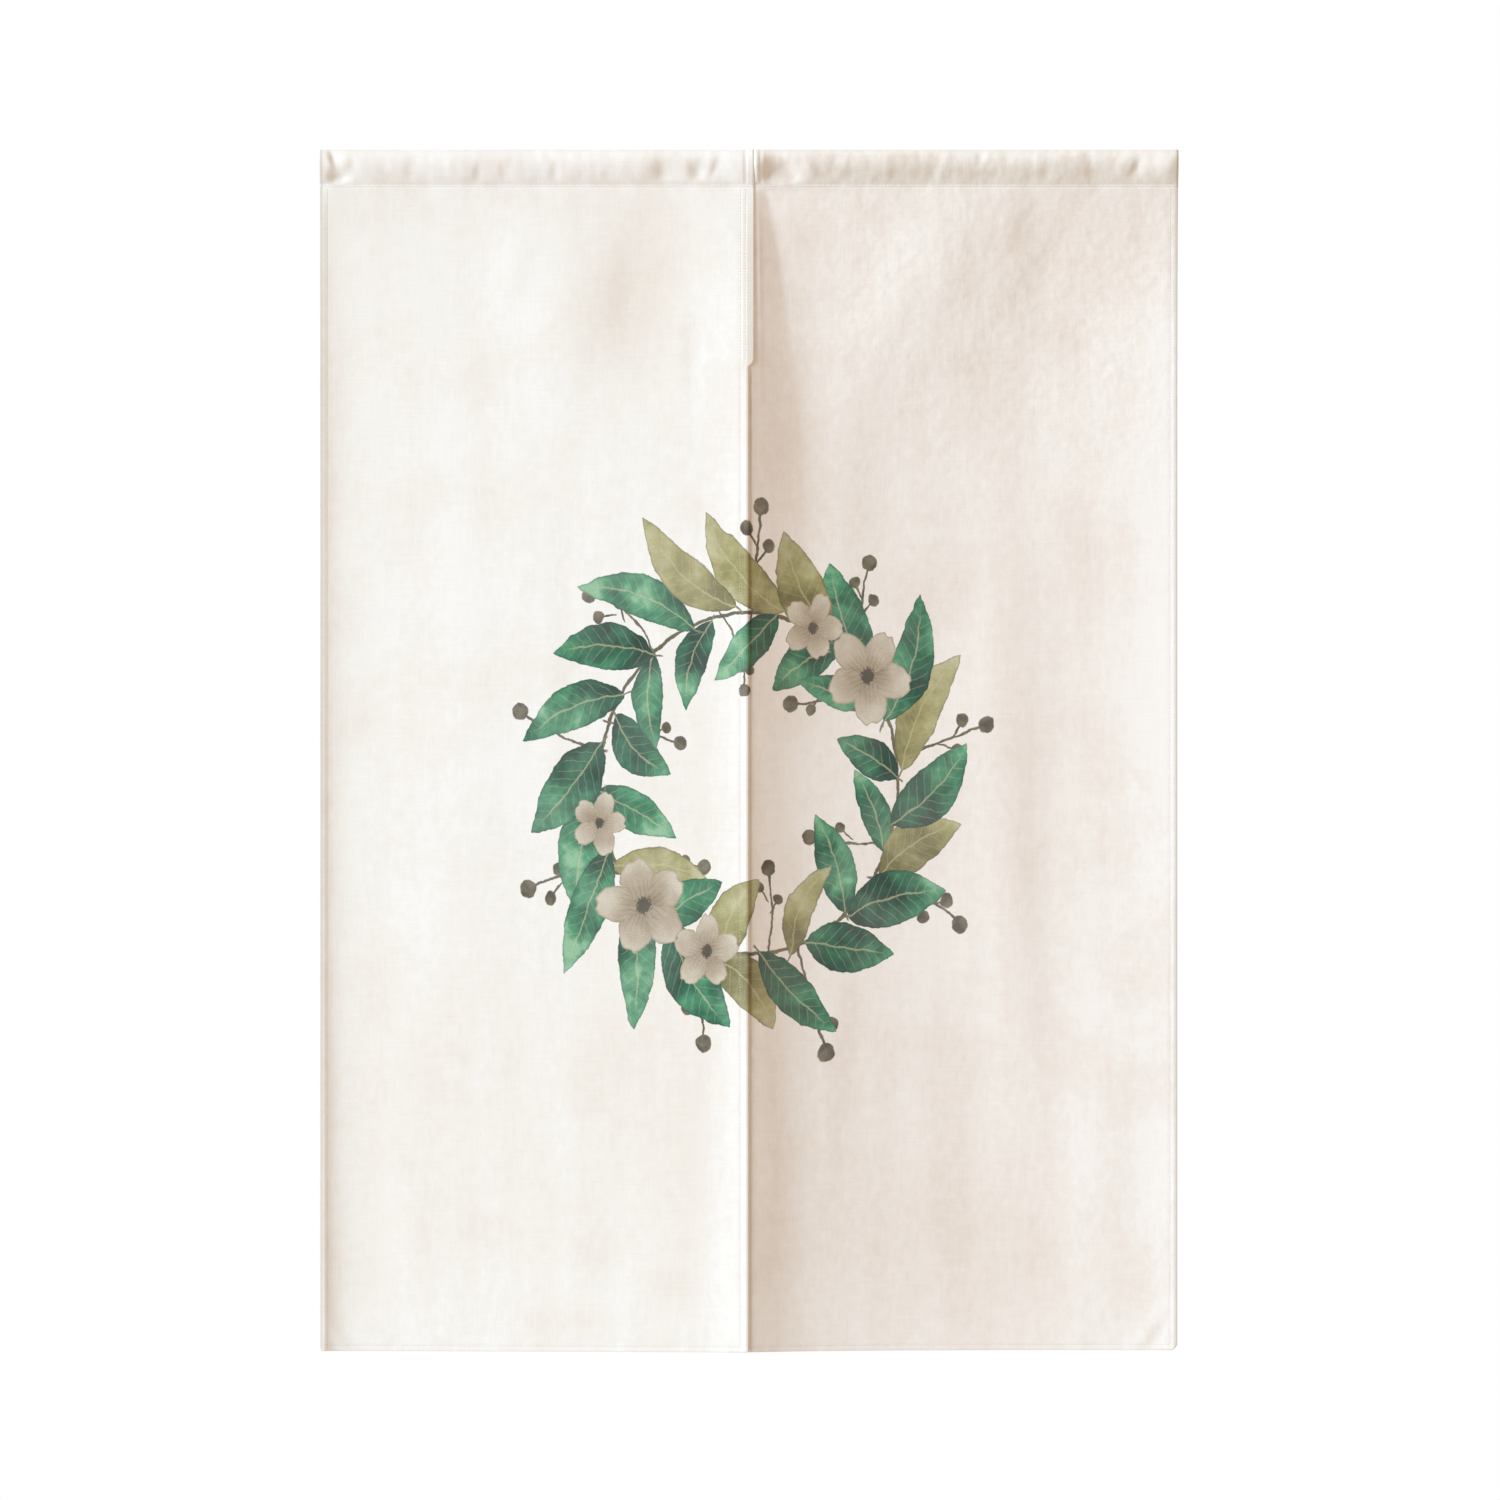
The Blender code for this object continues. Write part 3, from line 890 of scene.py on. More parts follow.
def rod_sleeve(name, low_x, high_x, lap, materials):
    """One panel's share of the sleeve, open at both ends."""
    columns = stepped(low_x, (low_x + SLEEVE_END, SLEEVE_END_PITCH),
                      (high_x - SLEEVE_END, SLEEVE_PITCH), (high_x, SLEEVE_END_PITCH))
    rows = [row / SLEEVE_ROUNDS for row in range(SLEEVE_ROUNDS + 1)]
    section = [sleeve_point((low_x + high_x) / 2, around, lap) for around in rows]
    girths = {0.0: 0.0}
    for row, before, after in zip(rows[1:], section, section[1:]):
        girths[row] = max(girths.values()) + (after - before).length
    print(name, "is cut", round(girths[1.0], 4), "m around")
    return sheet_of_cloth(name, columns, rows, lambda x, around: sleeve_point(x, around, lap),
                          lambda x, around: (x, PANEL_TOP + girths[around]), materials)


print("a sleeve has", SLEEVE_ROUNDS, "rows of faces around it")

# %% [markdown]
# ## The weave
# The cloth is a plain weave: each thread passes over one and under the next, and thicker
# places in the flax thread, called slubs, draw fine streaks both ways. A crossing of two sine
# waves gives the over and under, and two stretched noises give the slubs. Large, faint clouds
# make the tone uneven, as in unbleached cloth. All read the UV map, in metres of cloth.

# %% Weave group
THREADS = 1550.0  # threads in a metre
THREAD_DRIFT = 0.0012  # how far the threads wander
SLUB_ACROSS = 720.0
SLUB_ALONG = 22.0
SLUB_TONE = 0.075
CRINKLED_LEAST = 1.4  # fine crinkles: on most of the cloth, and at the upper right
CRINKLED_MOST = 9.0
CLOUD_STRENGTH = 0.55
FLECK_STRENGTH = 1.1
SHADE_AND_LIGHT_PATCHES = (
    # x, z, half_x, half_z, strength: patches of painted shade, warmer and darker, over the folds and
    # the sleeve's band, with some plain uneven tone; pale ones below 0 are painted light
    (-0.112, -0.135, 0.085, 0.12, 0.6),
    (-0.053, -0.18, 0.02, 0.022, 0.35),
    (-0.056, -0.352, 0.022, 0.03, 0.45),
    (-0.265, -1.07, 0.04, 0.03, 0.35),
    (-0.155, -1.09, 0.05, 0.03, 0.35),
    (-0.07, -1.128, 0.04, 0.024, 0.4),
    (0.315, -0.115, 0.1, 0.11, 0.45),
    (0.41, -0.44, 0.05, 0.36, -0.55),
    (-0.37, -0.11, 0.09, 0.09, -0.4),
    (-0.225, -0.98, 0.28, 0.33, 0.47),
    (-0.04, -0.8, 0.07, 0.42, 0.4),
    (0.264, -0.62, 0.052, 0.33, 0.55),
    (0.225, -0.27, 0.09, 0.06, 0.18),
    (-0.07, -0.62, 0.075, 1.3, 0.22),
    (0.026, -1.02, 0.018, 0.33, 0.35),
    (-0.064, -1.03, 0.035, 0.2, 0.3),
    (-0.175, -1.165, 0.06, 0.03, 0.45),
    (0.14, -0.225, 0.06, 0.05, -0.45),
    (0.315, -0.185, 0.04, 0.035, 0.4),
    (0.392, -1.13, 0.035, 0.09, 0.5),
    (0.045, -0.315, 0.055, 0.11, 0.65),
    (0.21, -1.07, 0.17, 0.17, 0.62),
    (0.372, -0.125, 0.036, 0.1, 0.35),
    # painted highlight along the right sleeve's top, and painted shade on the band below it
    (0.215, 0.001, 0.33, 0.008, -0.9),
    (0.215, -0.021, 0.33, 0.014, 0.5),
)


def weave_group():
    """Height and tone of the plain weave at a place of the cloth, and how warm it is there, painted
    shade and painted light included.
    """
    place, = open_group("plain weave")
    drift = (cloudy(place, 60.0) - 0.5) * THREAD_DRIFT
    x, z, _ = parts_of(place + vector_of(drift, drift))
    thread_turn = THREADS * math.pi
    crossing = maths("SINE", x * thread_turn) * maths("SINE", z * thread_turn)
    bulge = abs(crossing) ** 0.6
    upright = cloudy(place * (SLUB_ACROSS, SLUB_ALONG, 1.0), 1.0, 3.0)
    level = cloudy(place * (SLUB_ALONG, SLUB_ACROSS, 1.0), 1.0, 3.0)
    slubs = upright + level - 1.0

    flat_x, flat_z, _ = parts_of(place)
    handled = ease(flat_x, 0.02, 0.12) * ease(flat_z, -0.50, -0.14)
    crinkles = cloudy(place, 92.0, 1.0, 0.4) - 0.5
    crinkles *= between(handled, CRINKLED_LEAST, CRINKLED_MOST)

    clouds = cloudy(place + (3.7, 1.9, 0.0), 8.5, 4.0, 0.6)
    flecks = cloudy(place * (130.0, 75.0, 1.0), 1.0, 2.0, 0.65)
    bands = cloudy(place * (26.0, 2.6, 1.0), 1.0, 2.0)
    warm = ease(clouds, 0.36, 0.72) * CLOUD_STRENGTH + (flecks + bands - 1.0) * FLECK_STRENGTH
    # Painted shade and painted light: each patch darkens or lightens the cloth's tone.
    for patch_x, patch_z, half_x, half_z, strength in SHADE_AND_LIGHT_PATCHES:
        from_patch = (place - (patch_x, patch_z, 0.0)) / (half_x, half_z, 1.0)
        ragged = maths("LENGTH", from_patch) + clouds
        warm += ease(ragged, 1.6, 0.5) * strength
    warm = maths("MAXIMUM", maths("MINIMUM", warm, 1.0), 0.0)
    return close_group(Height=bulge * 0.35 + slubs + crinkles, Tone=slubs * SLUB_TONE + 1.0,
                       Warm=warm)


weave = weave_group()

# %% [markdown]
# ## The print
# Printed across the slit is a wreath of leaves with a few blossoms and berries, a common
# motif, as if in watercolour. Painted washes have a dark rim where the water dried, pale
# veins, and clouds of pigment. A picture file would be simpler, but nodes stay sharp at any
# size. A leaf is drawn once, in its own measure, and repeated round the ring: the angle gives
# each leaf a number, and the number its own size, lean and tint.

# %% Painted leaves
DARK_GREEN = screen(20, 66, 52)
MID_GREEN = screen(38, 108, 80)
LIGHT_GREEN = screen(82, 156, 116)
PALE_GREEN = screen(146, 196, 156)
DARK_OLIVE = screen(122, 114, 70)
MID_OLIVE = screen(170, 161, 108)
PALE_OLIVE = screen(204, 197, 156)
GREEN_WASH = ((0.0, DARK_GREEN), (0.38, MID_GREEN), (0.75, LIGHT_GREEN), (1.0, PALE_GREEN))
OLIVE_WASH = ((0.0, DARK_OLIVE), (0.5, MID_OLIVE), (1.0, PALE_OLIVE))
OLIVE_FROM = 0.76  # leaves whose number is higher are olive
RIM_WIDTH = 0.0026
BRUSH_EDGE = 0.0007
VEIN_PITCH = 0.0098
VEIN_SLANT = 0.85


def round_the_ring(place, count, start):
    """Turn a place into its own slot's measure: X points out from the ring's centre."""
    x, y, _ = parts_of(place)
    turn = math.tau / count
    slot = maths("FLOOR", (maths("ARCTAN2", y, x) + start) / turn)
    middle = (slot + 0.5) * turn - start
    return turned(place, middle * -1.0), maths("FLOORED_MODULO", slot, count)


def own_numbers(slot, seed):
    """Three numbers from 0 to 1 that belong to one leaf, petal or sprig."""
    key = maths("MULTIPLY_ADD", slot, 7.31, seed)
    return parts_of(node("TexWhiteNoise", {"W": key}, "Color", noise_dimensions="1D"))


def leaf_group():
    """Leaves set round a ring. Gives their cover and their paint."""
    place, count, start, seed, ring, shift, lean, length, half_width = open_group(
        "painted leaves",
        "Count", "Start", "Seed", "Ring", "Shift", "Lean", "Length", "Half width")
    local, slot = round_the_ring(place, count, start)
    first, second, third = own_numbers(slot, seed)
    from_root = local - vector_of(ring * between(first, 0.96, 1.04), shift)
    own_lean = lean + between(second, -0.22, 0.22)
    along, across, _ = parts_of(turned(from_root, own_lean * -1.0))
    own_length = length * between(third, 0.80, 1.12)
    share = along / own_length
    held = maths("MINIMUM", maths("MAXIMUM", share, 0.0), 1.0)
    bow = held * (1.0 - held) * (own_length * between(first, -0.5, 0.5))
    off_rib = abs(across - bow)
    belly = maths("MAXIMUM", maths("SINE", held ** 0.82 * math.pi), 0.0) ** 0.80
    inside = belly * (half_width * between(second, 0.82, 1.14)) - off_rib - 0.0003

    wash = cloudy(place + vector_of(slot, seed), 26.0, 3.0, 0.62)
    tone = (wash - 0.5) * 2.4 + 0.02 + held * 0.70 + between(third, -0.10, 0.26)
    paint = blend(maths("GREATER_THAN", first, OLIVE_FROM),
                  ramp(tone, GREEN_WASH), ramp(tone, OLIVE_WASH))
    rib = ease(off_rib, 0.0011, 0.0004) * ease(share, 0.93, 0.7)
    vein = maths("PINGPONG", (along - off_rib * VEIN_SLANT) / VEIN_PITCH, 0.5)
    vein = ease(vein, 0.075, 0.02) * ease(inside, 0.001, 0.006)
    paint = blend(maths("MAXIMUM", rib * 0.55, vein * 0.26), paint, PALE_OLIVE)
    paint = blend(ease(inside, RIM_WIDTH, 0.0003) * 0.42, paint, DARK_GREEN, "MULTIPLY")

    stalk = ease(off_rib, 0.0012, 0.0006) * ease(share, 0.12, 0.05) * ease(share, -0.09, -0.06)
    cover = maths("MAXIMUM", ease(inside, 0.0, BRUSH_EDGE), stalk)
    return close_group(Cover=cover, Paint=paint)


leaves = leaf_group()

# %% Blossoms and berries
PETAL = screen(226, 214, 196)
PETAL_SHADE = screen(190, 172, 150)
PETAL_BASE = screen(150, 128, 104)
UMBER = screen(84, 74, 60)
TAUPE = screen(128, 119, 98)
PETALS = 5.0
BERRIES = (
    # along, aside, radius, for a sprig of length 1
    (1.0, 0.0, 0.105),
    (0.74, 0.15, 0.085),
    (0.58, -0.14, 0.08),
)
BERRY_STALK = 0.2  # a berry's stalk leaves the sprig this far before it


def blossom_group():
    """A blossom of five petals round a dark eye."""
    place, size, seed = open_group("painted blossom", "Size", "Seed")
    local, slot = round_the_ring(place, PETALS, seed)
    first, second, _ = own_numbers(slot, seed)
    x, y, _ = parts_of(local / size)
    reach = between(first, 0.46, 0.54)
    out = (x - reach) / reach
    aside = y / between(second, 0.33, 0.42)
    notch = ease(abs(aside), 0.30, 0.0) * ease(out, 0.55, 1.0)
    oval = maths("SQRT", out * out + aside * aside) + notch * 0.16

    wash = cloudy(place + vector_of(slot, 4.0), 45.0, 3.0)
    tone = x * 0.75 + between(wash, -0.35, 0.55)
    paint = ramp(tone, ((0.0, PETAL_BASE), (0.45, PETAL_SHADE), (0.95, PETAL)))
    line = maths("PINGPONG", aside * (1.6 - x), 0.16)
    line = ease(line, 0.035, 0.0) * ease(x, 0.70, 0.25)
    paint = blend(line * 0.5, paint, UMBER)
    paint = blend(ease(oval, 0.86, 0.98) * 0.62, paint, PETAL_BASE)

    from_eye = maths("LENGTH", place) / size
    eye = ease(from_eye + cloudy(place, 420.0, 1.0) * 0.22, 0.31, 0.24)
    return close_group(Cover=maths("MAXIMUM", ease(oval, 1.0, 0.965), eye),
                       Paint=blend(eye, paint, UMBER))


def sprig_group():
    """Thin sprigs set round a ring, each with three berries."""
    place, count, start, seed, ring, reach = open_group(
        "painted sprigs", "Count", "Start", "Seed", "Ring", "Reach")
    local, slot = round_the_ring(place, count, start)
    first, second, third = own_numbers(slot, seed)
    leaning = turned(local - vector_of(ring, 0.0), between(second, -0.55, 0.55))
    here = leaning / (reach * between(third, 0.85, 1.1))
    x, y, _ = parts_of(here)
    off_line = abs(y - x * (1.0 - x) * between(first, -0.5, 0.5))
    cover = ease(off_line, 0.020, 0.011) * ease(x, 1.0, 0.97) * ease(x, -0.25, -0.2)
    for berry_x, berry_y, radius in BERRIES:
        berry = (berry_x, berry_y, 0.0)
        near = maths("DISTANCE", here, berry)
        cover = maths("MAXIMUM", cover, ease(near, radius, radius - 0.014))
        if berry_y:
            root = (berry_x - BERRY_STALK, 0.0, 0.0)
            off_stalk = maths("DISTANCE", here, root) + near - math.dist(root, berry)
            cover = maths("MAXIMUM", cover, ease(off_stalk, 0.0022, 0.0008))
    return close_group(Cover=cover, Paint=ramp(cloudy(place, 90.0), ((0.35, UMBER), (0.65, TAUPE))))


blossoms = blossom_group()
sprigs = sprig_group()

# %% [markdown]
# The wreath lays these groups over each other like sheets of paint. Neighbouring leaves
# overlap, so each ring is drawn twice, half a slot apart. A little noise bends every outline
# the way a wet brush does.

# %% The wreath
WREATH_CENTRE = (0.0, -0.628, 0.0)
WREATH_TALL = 1.14  # how much taller than wide it is
RING = 0.148
WOBBLE = 0.0075
PAPER_GREY = screen(214, 214, 214)
PAPER_WHITE = screen(255, 255, 255)
LEAF_SETS = (
    # count, start, seed, ring, shift, lean, length, half_width
    (7, 0.1, 11.0, 0.143, -0.046, 2.38, 0.088, 0.019),
    (7, 0.55, 23.0, 0.143, -0.046, 2.28, 0.082, 0.018),
    (10, 0.0, 37.0, 0.144, -0.036, 0.8, 0.112, 0.0225),
    (10, 0.31, 41.0, 0.144, -0.036, 0.72, 0.118, 0.0235),
)
SPRIG_SETS = (
    # count, start, seed, ring, reach
    (9, 0.2, 5.0, 0.16, 0.082),
    (6, 0.9, 8.0, 0.14, -0.066),
)
BLOSSOMS = (
    # x, y, size, seed
    (-0.104, -0.106, 0.046, 1.3),
    (0.118, 0.094, 0.043, 2.1),
    (-0.042, -0.146, 0.033, 0.4),
    (0.064, 0.136, 0.03, 3.2),
    (-0.148, -0.034, 0.028, 4.4),
)


def wreath_group():
    """The whole print: how much paint lies at a place of the cloth, and its colour."""
    cloth_place, = open_group("printed wreath")
    from_centre = (cloth_place - WREATH_CENTRE) / (1.0, WREATH_TALL, 1.0)
    wobble = vector_of(cloudy(from_centre, 55.0, 4.0, 0.6),
                       cloudy(from_centre + (5.0, 2.0, 0.0), 55.0, 4.0, 0.6))
    place = from_centre + (wobble - (0.5, 0.5, 0.0)) * (WOBBLE, WOBBLE, 0.0)

    cover = ease(abs(maths("LENGTH", place) - RING), 0.0020, 0.0012)
    paint = ramp(cloudy(place, 30.0), ((0.3, UMBER), (0.7, DARK_OLIVE)))
    sheets = [use_group(sprigs, place, *row) for row in SPRIG_SETS]
    sheets += [use_group(leaves, place, *row) for row in LEAF_SETS]
    sheets += [use_group(blossoms, place - (x, y, 0.0), *row) for x, y, *row in BLOSSOMS]
    for sheet_cover, sheet_paint in sheets:
        paint = blend(sheet_cover, paint, sheet_paint)
        cover = maths("MAXIMUM", cover, sheet_cover)

    grain = ramp(cloudy(cloth_place, 900.0, 2.0, 0.7), ((0.25, PAPER_GREY), (0.6, PAPER_WHITE)))
    pool = ease(cloudy(place + (9.0, 4.0, 0.0), 14.0, 3.0), 0.3, 0.7)
    return close_group(Cover=cover * between(pool, 0.98, 0.90),
                       Paint=blend(1.0, paint, grain, "MULTIPLY"))


wreath = wreath_group()

# %% [markdown]
# ## The cloth's materials
# Cotton and linen are matt, with a soft sheen where fibres stand up. One function makes the
# front of the panels, their reverse, where the dye shows through faintly, and the plain
# sleeve. What is the same all over is set on the shader itself.

# %% Cloth and thread materials
LEFT_TONES = (screen(246, 240, 236), screen(239, 228, 220))  # plain, and where it is warm
# Painted shade: the right panel's tones are darker, warmer copies of the left ones, for the shade on
# the ridge's far side.
RIGHT_SHADED_TONES = (screen(245, 236, 231), screen(235, 220, 211))
LEFT_SLEEVE_TONES = (screen(248, 242, 239), screen(241, 231, 224))
# Painted shade: the right sleeve's tones are darker than the left sleeve's, for the shade over the
# right half.
RIGHT_SLEEVE_SHADED_TONES = (screen(241, 232, 225), screen(224, 210, 199))
# Painted shade at the outer folds: its colour, and how strongly it is laid on.
EDGE_SHADE_COLOUR = screen(176, 164, 150)
EDGE_SHADE_SHARE = 0.38
WEAVE_RELIEF = 0.00009
PRINTED_FACES = (("front", 1.0), ("reverse", 0.30))  # how strongly the print shows there
CLOTH_FINISH = {"Roughness": 0.92, "Specular IOR Level": 0.25, "Sheen Weight": 0.12,
                "Sheen Roughness": 0.6}


def new_material(name, finish):
    """A material with the plain values of its finish set. Returns its tree and shader too."""
    material = bpy.data.materials.new(name)
    material.use_nodes = True
    shader = material.node_tree.nodes["Principled BSDF"]
    for label, value in finish.items():
        shader.inputs[label].default_value = value
    return material, material.node_tree, shader


def cloth_material(name, side, tones, printed=0.0, inner_edge=0.0):
    """Woven cloth, darkened a little as painted shade at its outer edge, which is on the given side.
    The print has a strength from 0 to 1, and ends just past the fold at the inner edge."""
    material, tree, shader = new_material(name, CLOTH_FINISH)
    place = node("UVMap", {}, tree=tree, uv_map="cloth")
    height, tone, warm = use_group(weave, place)
    flat_x = parts_of(place)[0]
    # Painted shade: the cloth darkens towards its outer fold.
    edge_shade = ease(abs(flat_x - side * WIDTH / 2), 0.0042, 0.0016) * EDGE_SHADE_SHARE
    colour = blend(edge_shade, blend(warm, *tones), EDGE_SHADE_COLOUR)
    if printed:
        cover, paint = use_group(wreath, place)
        from_fold = (flat_x - inner_edge) * side
        colour = blend(cover * ease(from_fold, -0.0004, 0.0001) * printed, colour, paint)
    colour = blend(1.0, colour, vector_of(tone, tone, tone), "MULTIPLY")
    feed(shader.inputs["Base Color"], colour)
    bump = node("Bump", {"Strength": 0.7, "Distance": WEAVE_RELIEF, "Height": height})
    feed(shader.inputs["Normal"], bump)
    return material


def thread_material():
    """Sewing thread: two strands twisted, a little glossier than the cloth."""
    material, tree, shader = new_material("sewing_thread", {"Roughness": 0.6, "Sheen Weight": 0.2})
    twist = cloudy(node("TexCoord", {}, "Object", tree), 2600.0, 1.0)
    colour = ramp(twist, ((0.3, screen(214, 204, 190)), (0.7, screen(240, 233, 222))))
    feed(shader.inputs["Base Color"], colour)
    return material


left_faces = [cloth_material("left_" + face, -1.0, LEFT_TONES, printed, SLIT_EDGE)
              for face, printed in PRINTED_FACES]
right_faces = [cloth_material("right_" + face, 1.0, RIGHT_SHADED_TONES, printed, RIGHT_PANEL_EDGE)
               for face, printed in PRINTED_FACES]
left_sleeve_faces = [cloth_material("left_sleeve_" + face, -1.0, LEFT_SLEEVE_TONES)
                     for face in ("outside", "inside")]
right_sleeve_faces = [cloth_material("right_sleeve_" + face, 1.0, RIGHT_SLEEVE_SHADED_TONES)
                      for face in ("outside", "inside")]
thread = thread_material()
print("materials", [material.name for material in bpy.data.materials])

# %% [markdown]
# ## Hang the cloth
# The left panel laps over the right one, as in the photograph, and both sleeves close off the
# top. Each piece stands for its solid and moves with the only body.

# %% Make the four pieces of cloth
OUTER_X = WIDTH / 2
left_cloth = hung_panel("left_cloth", -OUTER_X, left_inner_edge, LEFT_INNER_HEM, left_front,
                        left_faces)
right_cloth = hung_panel("right_cloth", OUTER_X, right_inner_edge, RIGHT_INNER_HEM, right_front,
                         right_faces)
left_sleeve = rod_sleeve("left_sleeve", -OUTER_X, SEAM_EDGE_TOP, no_lap, left_sleeve_faces)
right_sleeve = rod_sleeve("right_sleeve", SEAM_EDGE_TOP + GAP, OUTER_X, behind_left_panel,
                          right_sleeve_faces)

# %% [markdown]
# ## The stitching
# Lockstitch shows as a row of short bars, each diving into the cloth at both ends. Bump
# could draw them, but they catch light as real thread does when they are real. Each is a
# small ball stretched along the row. There are thousands, so the ball has only twenty faces.

# %% Stitch rows
STITCH_PITCH = 0.0030
STITCH_LENGTH = 0.0024
STITCH_START = 0.2  # a row's first stitch starts after this share of a pitch
THREAD_RADIUS = 0.00026
THREAD_SUNK = 0.00008
HEM_BACK = SHEET + 2.0 * TURN  # from the front of a hem to its back
ROW_TOP = PANEL_TOP - 0.001
ROW_FOOT = -HEIGHT + 0.002
CORNER_CLEAR = 0.0012  # a level row ends this far inside the upright ones
FRONT_ROW_START = 0.020  # below the seam, the right panel's inner row comes into view
SLEEVE_ROW = 0.05  # where the sleeve's row lies, as a share of the way around
END_CLEAR = 0.002  # the sleeve's rows end this far inside its ends, and half as far at the seam


def stitch_row(bm, place, start, stop):
    """Stitches along a line. place gives the thread's point for a number from start to stop."""
    count = int(abs(stop - start) / STITCH_PITCH)
    step = math.copysign(STITCH_PITCH, stop - start)
    reach = math.copysign(STITCH_LENGTH, stop - start)
    for number in range(count):
        begin = start + step * (number + STITCH_START)
        first = place(begin)
        last = place(begin + reach)
        lie = (last - first).to_track_quat("X", "Z").to_matrix().to_4x4()
        size = Matrix.Diagonal(((last - first).length / 2, THREAD_RADIUS, THREAD_RADIUS, 1.0))
        matrix = Matrix.Translation((first + last) / 2) @ lie @ size
        bmesh.ops.create_icosphere(bm, subdivisions=1, radius=1.0, matrix=matrix)
    return count


def sewn(name, rows):
    """One piece of stitching from a list of place, start and stop."""
    bm = bmesh.new()
    total = sum(stitch_row(bm, *row) for row in rows)
    print(name, total, "stitches")
    return new_piece(name, bm, [thread])


def on_cloth(front, line, layers):
    """A row on a panel. line gives X and Z for a number, and layers is how much cloth lies
    between the panel's front and the thread."""
    lift = layers + THREAD_SUNK if layers else -THREAD_SUNK

    def place(number):
        x, z = line(number)
        return Vector((x, front(x, z) + lift, z))
    return place


def panel_rows(front, outer_x, inner_line, inner_top):
    """The hems' rows of one panel, on its front and on its back. On the front, the row at the
    inner edge starts at inner_top."""
    side = math.copysign(1.0, outer_x)
    outer_line = outer_x - side * SIDE_LINE
    bottom = -HEIGHT + BOTTOM_LINE
    rows = []
    for layers in (0.0, HEM_BACK):
        rows += [
            (on_cloth(front, lambda z: (outer_line, z), layers), ROW_TOP, ROW_FOOT),
            (on_cloth(front, lambda z: (inner_line, z), layers),
             ROW_TOP if layers else inner_top, ROW_FOOT),
            (on_cloth(front, lambda x: (x, bottom), layers),
             inner_line + side * CORNER_CLEAR, outer_line - side * CORNER_CLEAR)]
    return rows


def sleeve_rows(lap, start, stop):
    """The row that closes the sleeve, on its front and on its back."""
    def row(around, lift):
        return lambda x: Vector((x, sleeve_point(x, around, lap).y + lift, SLEEVE_LINE))

    proud = SHEET / 2 + THREAD_SUNK
    return [(row(SLEEVE_ROW, -proud), start, stop), (row(1.0 - SLEEVE_ROW, proud), start, stop)]


# %% Sew the panels and the sleeve
left_rows = panel_rows(left_front, -OUTER_X, LEFT_INNER_LINE, ROW_TOP)
left_rows.append((on_cloth(left_front, lambda z: (seam_row_x(z), z), 0.0), ROW_TOP, -SEAM_LENGTH))
right_rows = panel_rows(right_front, OUTER_X, RIGHT_INNER_LINE, -SEAM_LENGTH - FRONT_ROW_START)
left_stitching = sewn("left_stitching", left_rows)
right_stitching = sewn("right_stitching", right_rows)
left_sleeve_stitching = sewn("left_sleeve_stitching", sleeve_rows(
    no_lap, -OUTER_X + END_CLEAR, SEAM_EDGE_TOP - END_CLEAR / 2))
right_sleeve_stitching = sewn("right_sleeve_stitching", sleeve_rows(
    behind_left_panel, SEAM_EDGE_TOP + END_CLEAR, OUTER_X - END_CLEAR))

# %% [markdown]
# ## Tie the pieces to the model
# Every piece rides on the body, and the solid that it stands for is hidden. The table lists
# each sheet's size as it was cut: the panel with its hems, and the part of the cloth that is
# folded into the sleeve.

# %% Ride, and hide the solids
PIECES = (
    # cloth, stitching, node, slot, what it hangs from, flat width and length
    (left_cloth, left_stitching, "left_panel", "panel_cloth", ["left_heading"],
     (0.445, 1.160)),
    (right_cloth, right_stitching, "right_panel", "panel_cloth", ["right_heading"],
     (0.450, 1.160)),
    (left_sleeve, left_sleeve_stitching, "left_heading", "heading_cloth", [], (0.4295, 0.0858)),
    (right_sleeve, right_sleeve_stitching, "right_heading", "heading_cloth", [], (0.4202, 0.0858)),
)
for cloth, stitching, solid, slot, hangs_from, flat_size in PIECES:
    for piece in (cloth, stitching):
        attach(piece, "root")
    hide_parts(solid)
    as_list(hangs_from)
print("declared", [row[0].name for row in PIECES])

# %% [markdown]
# ## Floor and light
# The studio has a pale floor well below the hem, out of the picture, which fades out into
# white so that no view shows its edge. The light is soft: a warm glow from all round, and a
# broad, cooler lamp from the left and a little above, which brings out the ridge and leaves
# its right side in warm shade. A second lamp from behind and above lights the cloth's
# reverse, the floor and the top of the sleeve. Behind the cloth the camera sees plain white.

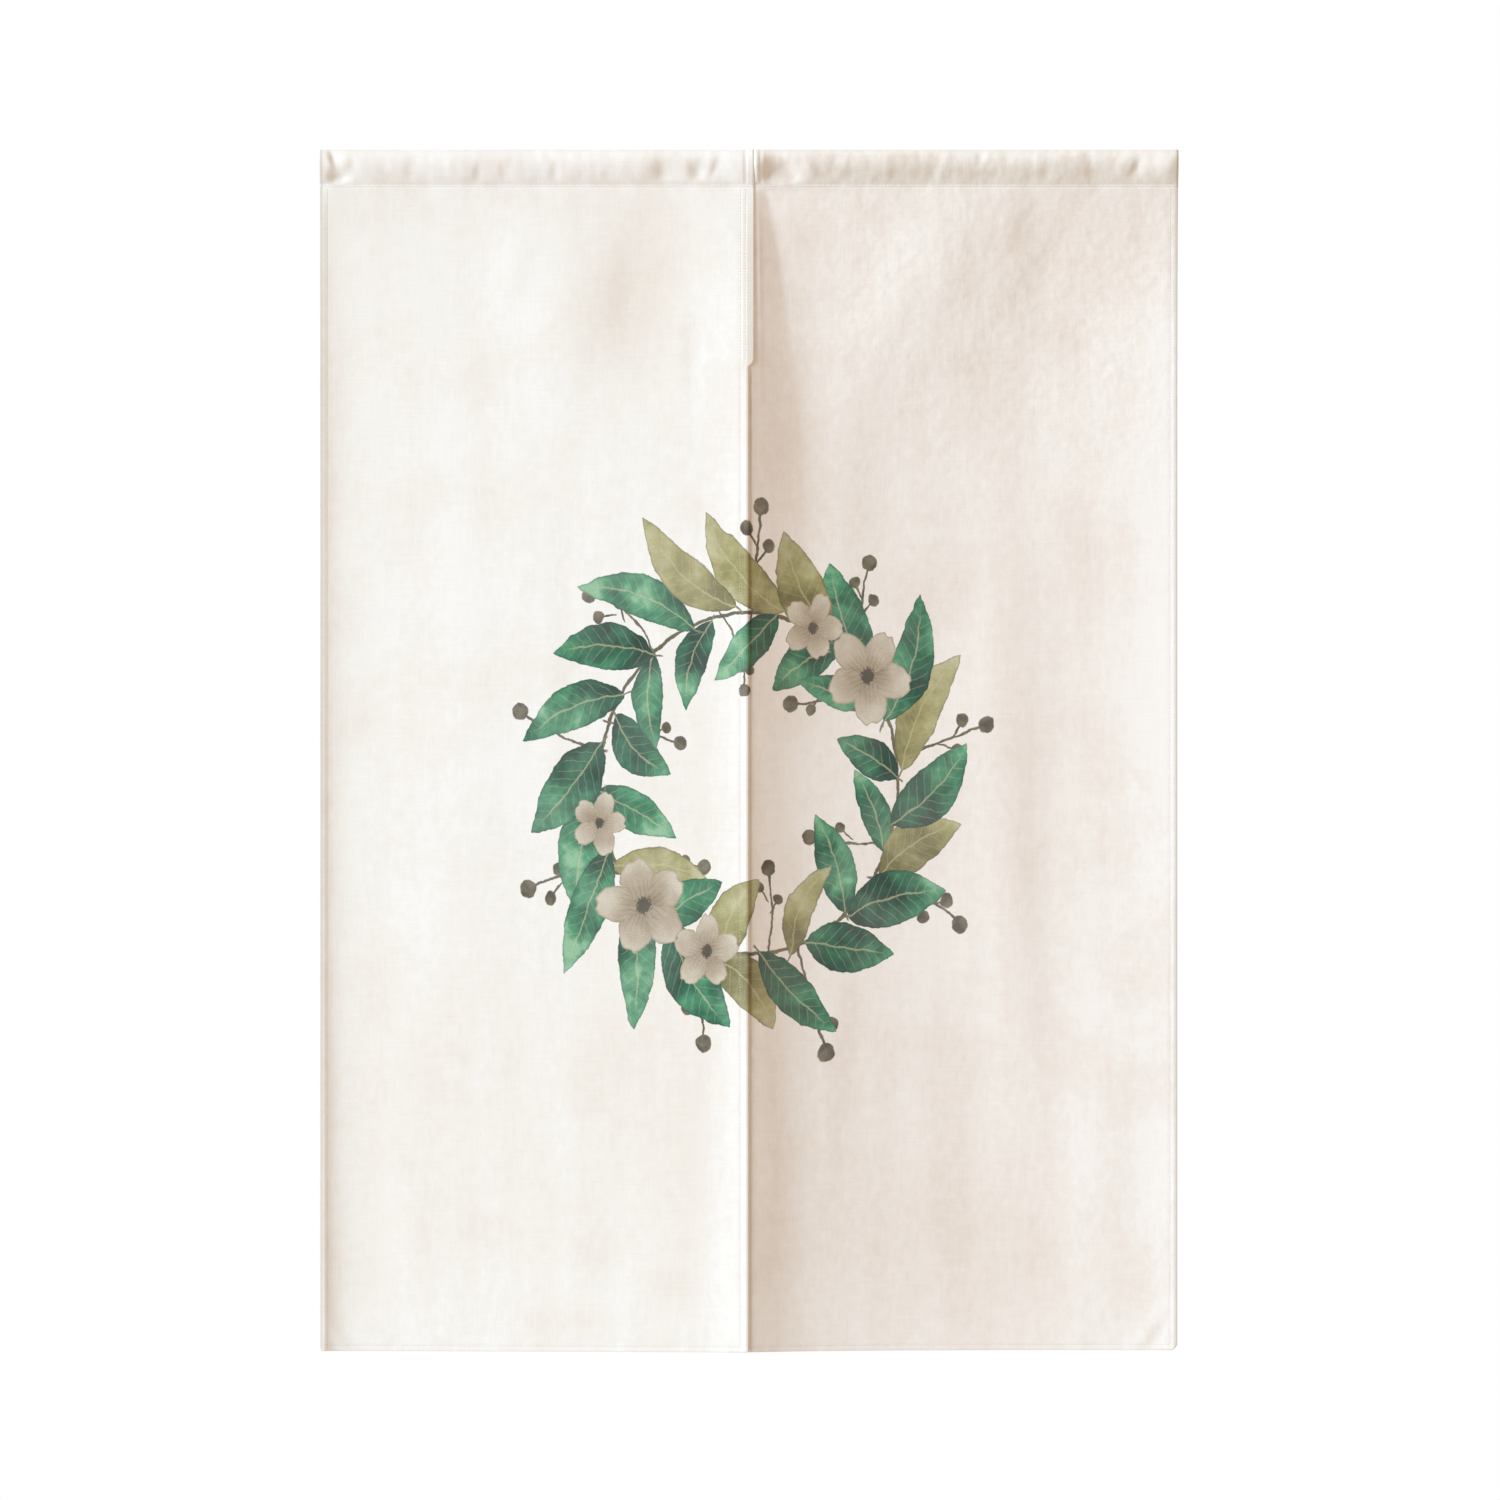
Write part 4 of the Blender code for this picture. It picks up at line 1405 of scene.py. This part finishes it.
# %% Floor
FLOOR_Z = -1.95
FLOOR_RADIUS = 6.4
FLOOR_FADES_FROM = 2.6
bm = bmesh.new()
bmesh.ops.create_circle(bm, cap_ends=True, segments=64, radius=FLOOR_RADIUS)
bmesh.ops.translate(bm, verts=bm.verts[:], vec=Vector((0.0, 0.0, FLOOR_Z)))
floor_material, tree, floor_shader = new_material(
    "floor", {"Base Color": screen(216, 212, 206), "Roughness": 0.85})
from_middle = maths("LENGTH", node("TexCoord", {}, "Object", tree))
feed(floor_shader.inputs["Alpha"], ease(
    from_middle, math.hypot(FLOOR_RADIUS, FLOOR_Z), math.hypot(FLOOR_FADES_FROM, FLOOR_Z)))
floor = new_piece("floor", bm, [floor_material])
print("floor at", FLOOR_Z)

# %% Light
GLOW = (1.0, 0.81, 0.60, 1.0)
GLOW_STRENGTH = 0.61
PAPER = (1.0, 1.0, 1.0, 1.0)
LAMP_BROAD = math.radians(24.0)
LAMPS = (
    # name, colour, strength, heading of its light from +Y and its drop, in degrees
    ("front_lamp", (0.62, 0.83, 1.0), 4.35, 65.0, 16.0),
    ("back_lamp", (0.66, 0.83, 1.0), 1.7, 195.0, 28.0),
)

world = bpy.data.worlds.new("studio")
world.use_nodes = True
bpy.context.scene.world = world
tree = world.node_tree
glow = tree.nodes["Background"]
glow.inputs["Color"].default_value = GLOW
glow.inputs["Strength"].default_value = GLOW_STRENGTH
paper = node("Background", {"Color": PAPER}, tree=tree)
camera_ray = node("LightPath", {}, "Is Camera Ray", tree)
seen = node("MixShader", {0: camera_ray, 1: Wire(tree, glow.outputs[0]), 2: paper})
feed(tree.nodes["World Output"].inputs["Surface"], seen)

for name, colour, strength, heading, drop in LAMPS:
    lamp_data = bpy.data.lights.new(name, "SUN")
    lamp_data.color = colour
    lamp_data.energy = strength
    lamp_data.angle = LAMP_BROAD
    lamp = bpy.data.objects.new(name, lamp_data)
    level = math.cos(math.radians(drop))
    way = Vector((math.sin(math.radians(heading)) * level, math.cos(math.radians(heading)) * level,
                  -math.sin(math.radians(drop))))
    lamp.rotation_euler = way.to_track_quat("-Z", "Y").to_euler()
    bpy.context.scene.collection.objects.link(lamp)
    print(name, "shines along", [round(part, 2) for part in way])
bpy.context.scene.view_settings.view_transform = "Standard"

# %% [markdown]
# ## The solids' box
# The dressed curtain has to stay within the solids' box, apart from a little that cloth may
# stand proud. The solids' box is printed.

# %% Print the solids' box
print("solids", [round(v, 4) for v in (*cad_low, *cad_high)])
